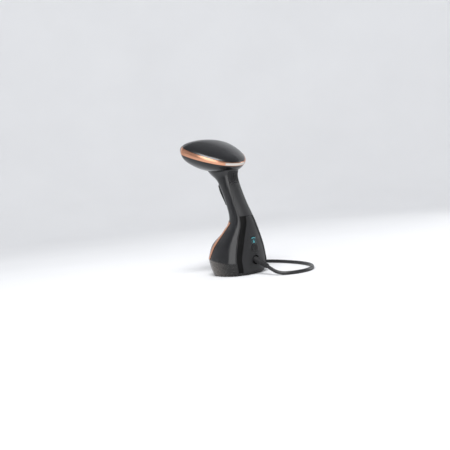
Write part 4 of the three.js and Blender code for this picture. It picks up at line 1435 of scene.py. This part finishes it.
@dataclass
class Tank:
    """The lift-out water tank: smoked walls, the filler with its hinged cap, and the copper trim round it."""

    wall: float = 2.0
    fill_at: Point = (0.0, -40.2, 62.0)
    fill_tilt: float = -27.0
    fill_radius: float = 11.0
    neck: float = 8.2
    seat: float = 4.3
    hinge_y: float = 1.6
    hinge_z: float = -13.0
    cap_flat_z: float = -7.6
    valve_at: Point = (0.0, -19.0, 50.3)
    trim_width: float = 8.5

    def fill_frame(self) -> Matrix:
        """The filler's frame: its y runs into the tank."""
        return tipped(self.fill_at, radians(self.fill_tilt))

    def pin_room(self) -> Piece:
        """The bore for the cap's hinge pin."""
        return rod("pin_room", 1.1, 15, (0, self.hinge_y, self.hinge_z), "x", self.fill_frame(), sides=24)

    def make_tank(self) -> None:
        """Builds the hollow tank with the filler's seat."""
        outside = BODY.solid("tank_wall", 0.0)
        cut(outside, BODY.tank_room(0.0), "INTERSECT")
        cut(outside, BODY.over_belt(1, GAP), "INTERSECT")
        inside = BODY.solid("inside", self.wall)
        cut(inside, BODY.tank_room(-self.wall), "INTERSECT")
        cut(inside, BODY.over_belt(1, GAP + self.wall), "INTERSECT")
        pocket = rod("pocket", self.fill_radius + 5, 9, (0, 2, 0), "y", self.fill_frame())
        cut(pocket, outside, "INTERSECT", keep=True)
        cut(outside, inside)
        cut(outside, pocket, "UNION")
        frame_of = self.fill_frame()
        for tool in (
            rod("neck", self.neck, 40, (0, 0, 0), "y", frame_of),
            rod("recess", self.fill_radius + 0.5, 30, (0, self.seat - 15, 0), "y", frame_of),
            block("hinge_room", (9, 30, 7), (0, self.seat + 0.6 - 15, self.hinge_z + 0.6), frame_of),
            block("edge_room", (18.4, 30, 5), (0, -0.9 - 15, -8.5), frame_of),
            self.pin_room(),
            rod("valve_room", 4.2, 16, (0, 0, 0), "y", tipped(self.valve_at, -atan(BODY.belt[2]))),
        ):
            cut(outside, tool)
        outside = keep_largest(outside, "tank_wall")
        soften(outside, 0.4)
        finish_piece(outside, TANK_SMOKE, "smoked", "water_tank", body="tank")

    def make_cap(self) -> None:
        """Builds the filler cap with a finger notch, its plug and its hinge lug."""
        frame_of = self.fill_frame()
        thick = self.seat + 0.5
        middle_y = self.seat - 0.3 - thick / 2
        cap = rod("filler_cap", self.fill_radius, thick, (0, middle_y, 0), "y", frame_of, 0.0, 64)
        cut(cap, block("flat", (30, 30, 10), (0, 0, self.cap_flat_z - 5), frame_of))
        soften(cap, 0.7, 3)
        cut(cap, rod("plug", self.neck - 0.5, 3.0, (0, self.seat + 0.3, 0), "y", frame_of, 0.5), "UNION")
        cut(cap, rod("lug", 2.2, 8, (0, self.hinge_y, self.hinge_z), "x", frame_of, 0.3, 32), "UNION")
        cut(cap, block("arm", (8, 3.4, 6), (0, 1.7, self.hinge_z + 3), frame_of), "UNION")
        cut(cap, self.pin_room())
        cut(cap, rod("dish", 6.4, 1.2, (0, -0.8, 0), "y", frame_of, 0.5))
        cut(cap, block("notch", (7, 3, 2.4), (0, 0.2, self.fill_radius), frame_of, 0.6))
        finish_piece(cap, MATT_BLACK, "matt_black", "fill_cap", body="fill_cap")
        pin = rod("cap_hinge_pin", 0.75, 13, (0, self.hinge_y, self.hinge_z), "x", frame_of, 0.15, 24)
        finish_piece(pin, STEEL, "steel", "fill_cap_pin", body="tank")

    def make_trim(self) -> None:
        """Builds the proud copper trim that frames the tank's opening."""
        trim = cut(BODY.solid("tank_edge", -0.8), BODY.solid("inside", WALL))
        cut(trim, BODY.tank_room(GAP + self.trim_width), "INTERSECT")
        cut(trim, BODY.tank_room(GAP))
        cut(trim, BODY.over_belt(1, GAP), "INTERSECT")
        trim = keep_largest(trim, "tank_edge")
        soften(trim, 0.8, 4)
        finish_piece(trim, COPPER, "copper", "tank_trim")

    def build(self) -> None:
        """Builds the tank."""
        self.make_tank()
        self.make_cap()
        self.make_trim()


@dataclass
class Keys:
    """The trigger with its finger ribs, the tank release key, and their springs and pin."""

    trigger_width: float = 19.0
    pin: tuple[float, float] = (-8.0, 45.0)
    outline: Pairs = (
        (-4.5, 48.6), (-19, 48.6), (-23.6, 44), (-25, 34), (-24.2, 20), (-22.6, 8), (-22.4, 0),
        (-15, -1), (-13, 6), (-13, 40), (-4.5, 41),
    )
    ribs: tuple[float, ...] = (10.0, 15.0, 20.0, 25.0, 30.0)
    face: tuple[float, float] = (-23.55, -0.068)
    release_z: float = 120.0
    release_ribs: tuple[float, ...] = (-2.2, 0.0, 2.2)
    wire: float = 0.45

    def make_trigger(self) -> None:
        """Builds the trigger: a narrow lever with a wide, softly rounded and ribbed pad."""
        lever = turned(slab("steam_trigger", self.outline, self.trigger_width - 5), HANDLE_FRAME)
        front = [(y, z) for y, z in self.outline if y < -10]
        pad = turned(slab("pad", front, self.trigger_width), HANDLE_FRAME)
        cut(pad, block("pad_room", (self.trigger_width, 12.5, 80), (0, -20.2, 25), HANDLE_FRAME), "INTERSECT")
        cut(lever, pad, "UNION")
        soften(lever, 1.6, 4, 30)
        cut(lever, rod("pin_room", 1.85, 60, (0, *self.pin), "x", HANDLE_FRAME, sides=32))
        face_y, face_slope = self.face
        for z in self.ribs:
            cut(lever, rod("rib_room", 0.9, 13, (0, face_y + face_slope * z, z), "x", HANDLE_FRAME, 0.5, 24))
        finish_piece(lever, MATT_BLACK, "matt_black", "trigger", body="trigger")
        pin = rod("trigger_axle", 1.5, 29, (0, *self.pin), "x", HANDLE_FRAME, 0.3, 32)
        finish_piece(pin, STEEL, "steel", "trigger_pin")

    def make_spring(self, name: str, node: str, radius: float, length: float, turns: int, foot: Point,
                    frame_of: Matrix) -> None:
        """One compression spring along y.

        Args:
            name: The piece's name.
            node: The CAD node that it replaces.
            radius: The coil's radius.
            length: Its length with the wire.
            turns: How many turns it has.
            foot: Where it stands.
            frame_of: The frame that it stands in.
        """
        steps = 20 * turns
        line = []
        for k in range(steps + 1):
            angle = 2 * pi * turns * k / steps
            rise = self.wire + (length - 2 * self.wire) * k / steps
            line.append(Vector(foot) + Vector((radius * cos(angle), rise, radius * sin(angle))))
        wound = turned(as_mesh(swept(name, line, self.wire, 3)), frame_of)
        finish_piece(wound, STEEL, "steel", node)

    def make_release(self) -> None:
        """Builds the release key with three finger ribs."""
        key = block("tank_key", (14, 8, 9), (0, 5.2, self.release_z), round_by=1.4)
        for shift in self.release_ribs:
            cut(key, rod("rib_room", 0.55, 9, (0, 1.0, self.release_z + shift), "x", sides=24, round_by=0.3))
        finish_piece(key, MATT_BLACK, "matt_black", "tank_release", body="tank_release")

    def build(self) -> None:
        """Builds the keys and springs."""
        self.make_trigger()
        self.make_release()
        self.make_spring("lever_spring", "trigger_spring", 3.0, 7.6, 5, (0, -12.5, 9), HANDLE_FRAME)
        self.make_spring("key_spring", "release_spring", 2.6, 5.6, 4, (0, 9.6, self.release_z), Matrix())


@dataclass
class Inside:
    """The sealed inner pieces, which keep their frame shapes and get their finishes."""

    finishes: dict[str, Finish] = field(default_factory=lambda: {
        "base_chassis": MATT_BLACK, "boiler": CAST, "circuit_board": BOARD, "indicator_light": WHITE,
        "plate_gasket": SILICONE, "power_switch": STEEL, "pump": WHITE, "pump_mount": RUBBER,
        "release_bracket": MATT_BLACK, "switch_bracket": MATT_BLACK, "tank_socket": MATT_BLACK,
        "tank_valve": WHITE, "thermal_fuse": BRASS, "thermostat": STEEL, "trigger_switch": BOARD,
    })

    def build(self) -> None:
        """Gives each piece its finish."""
        for name, finish in self.finishes.items():
            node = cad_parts[name]
            node.data.materials.clear()
            node.data.materials.append(made(finish))
            LOG.info("%s keeps its frame shape", name)


def main() -> None:
    """Builds the scene in order: camera, lead, then the steamer and the studio."""
    studio = Studio()
    studio.set_camera()
    for builder in (Lead(), Head(), Shells(), Spine(), Base(), Tank(), Keys(), Inside()):
        builder.build()
    studio.light()
    studio.lay_floor()


if __name__ == "__main__":
    main()
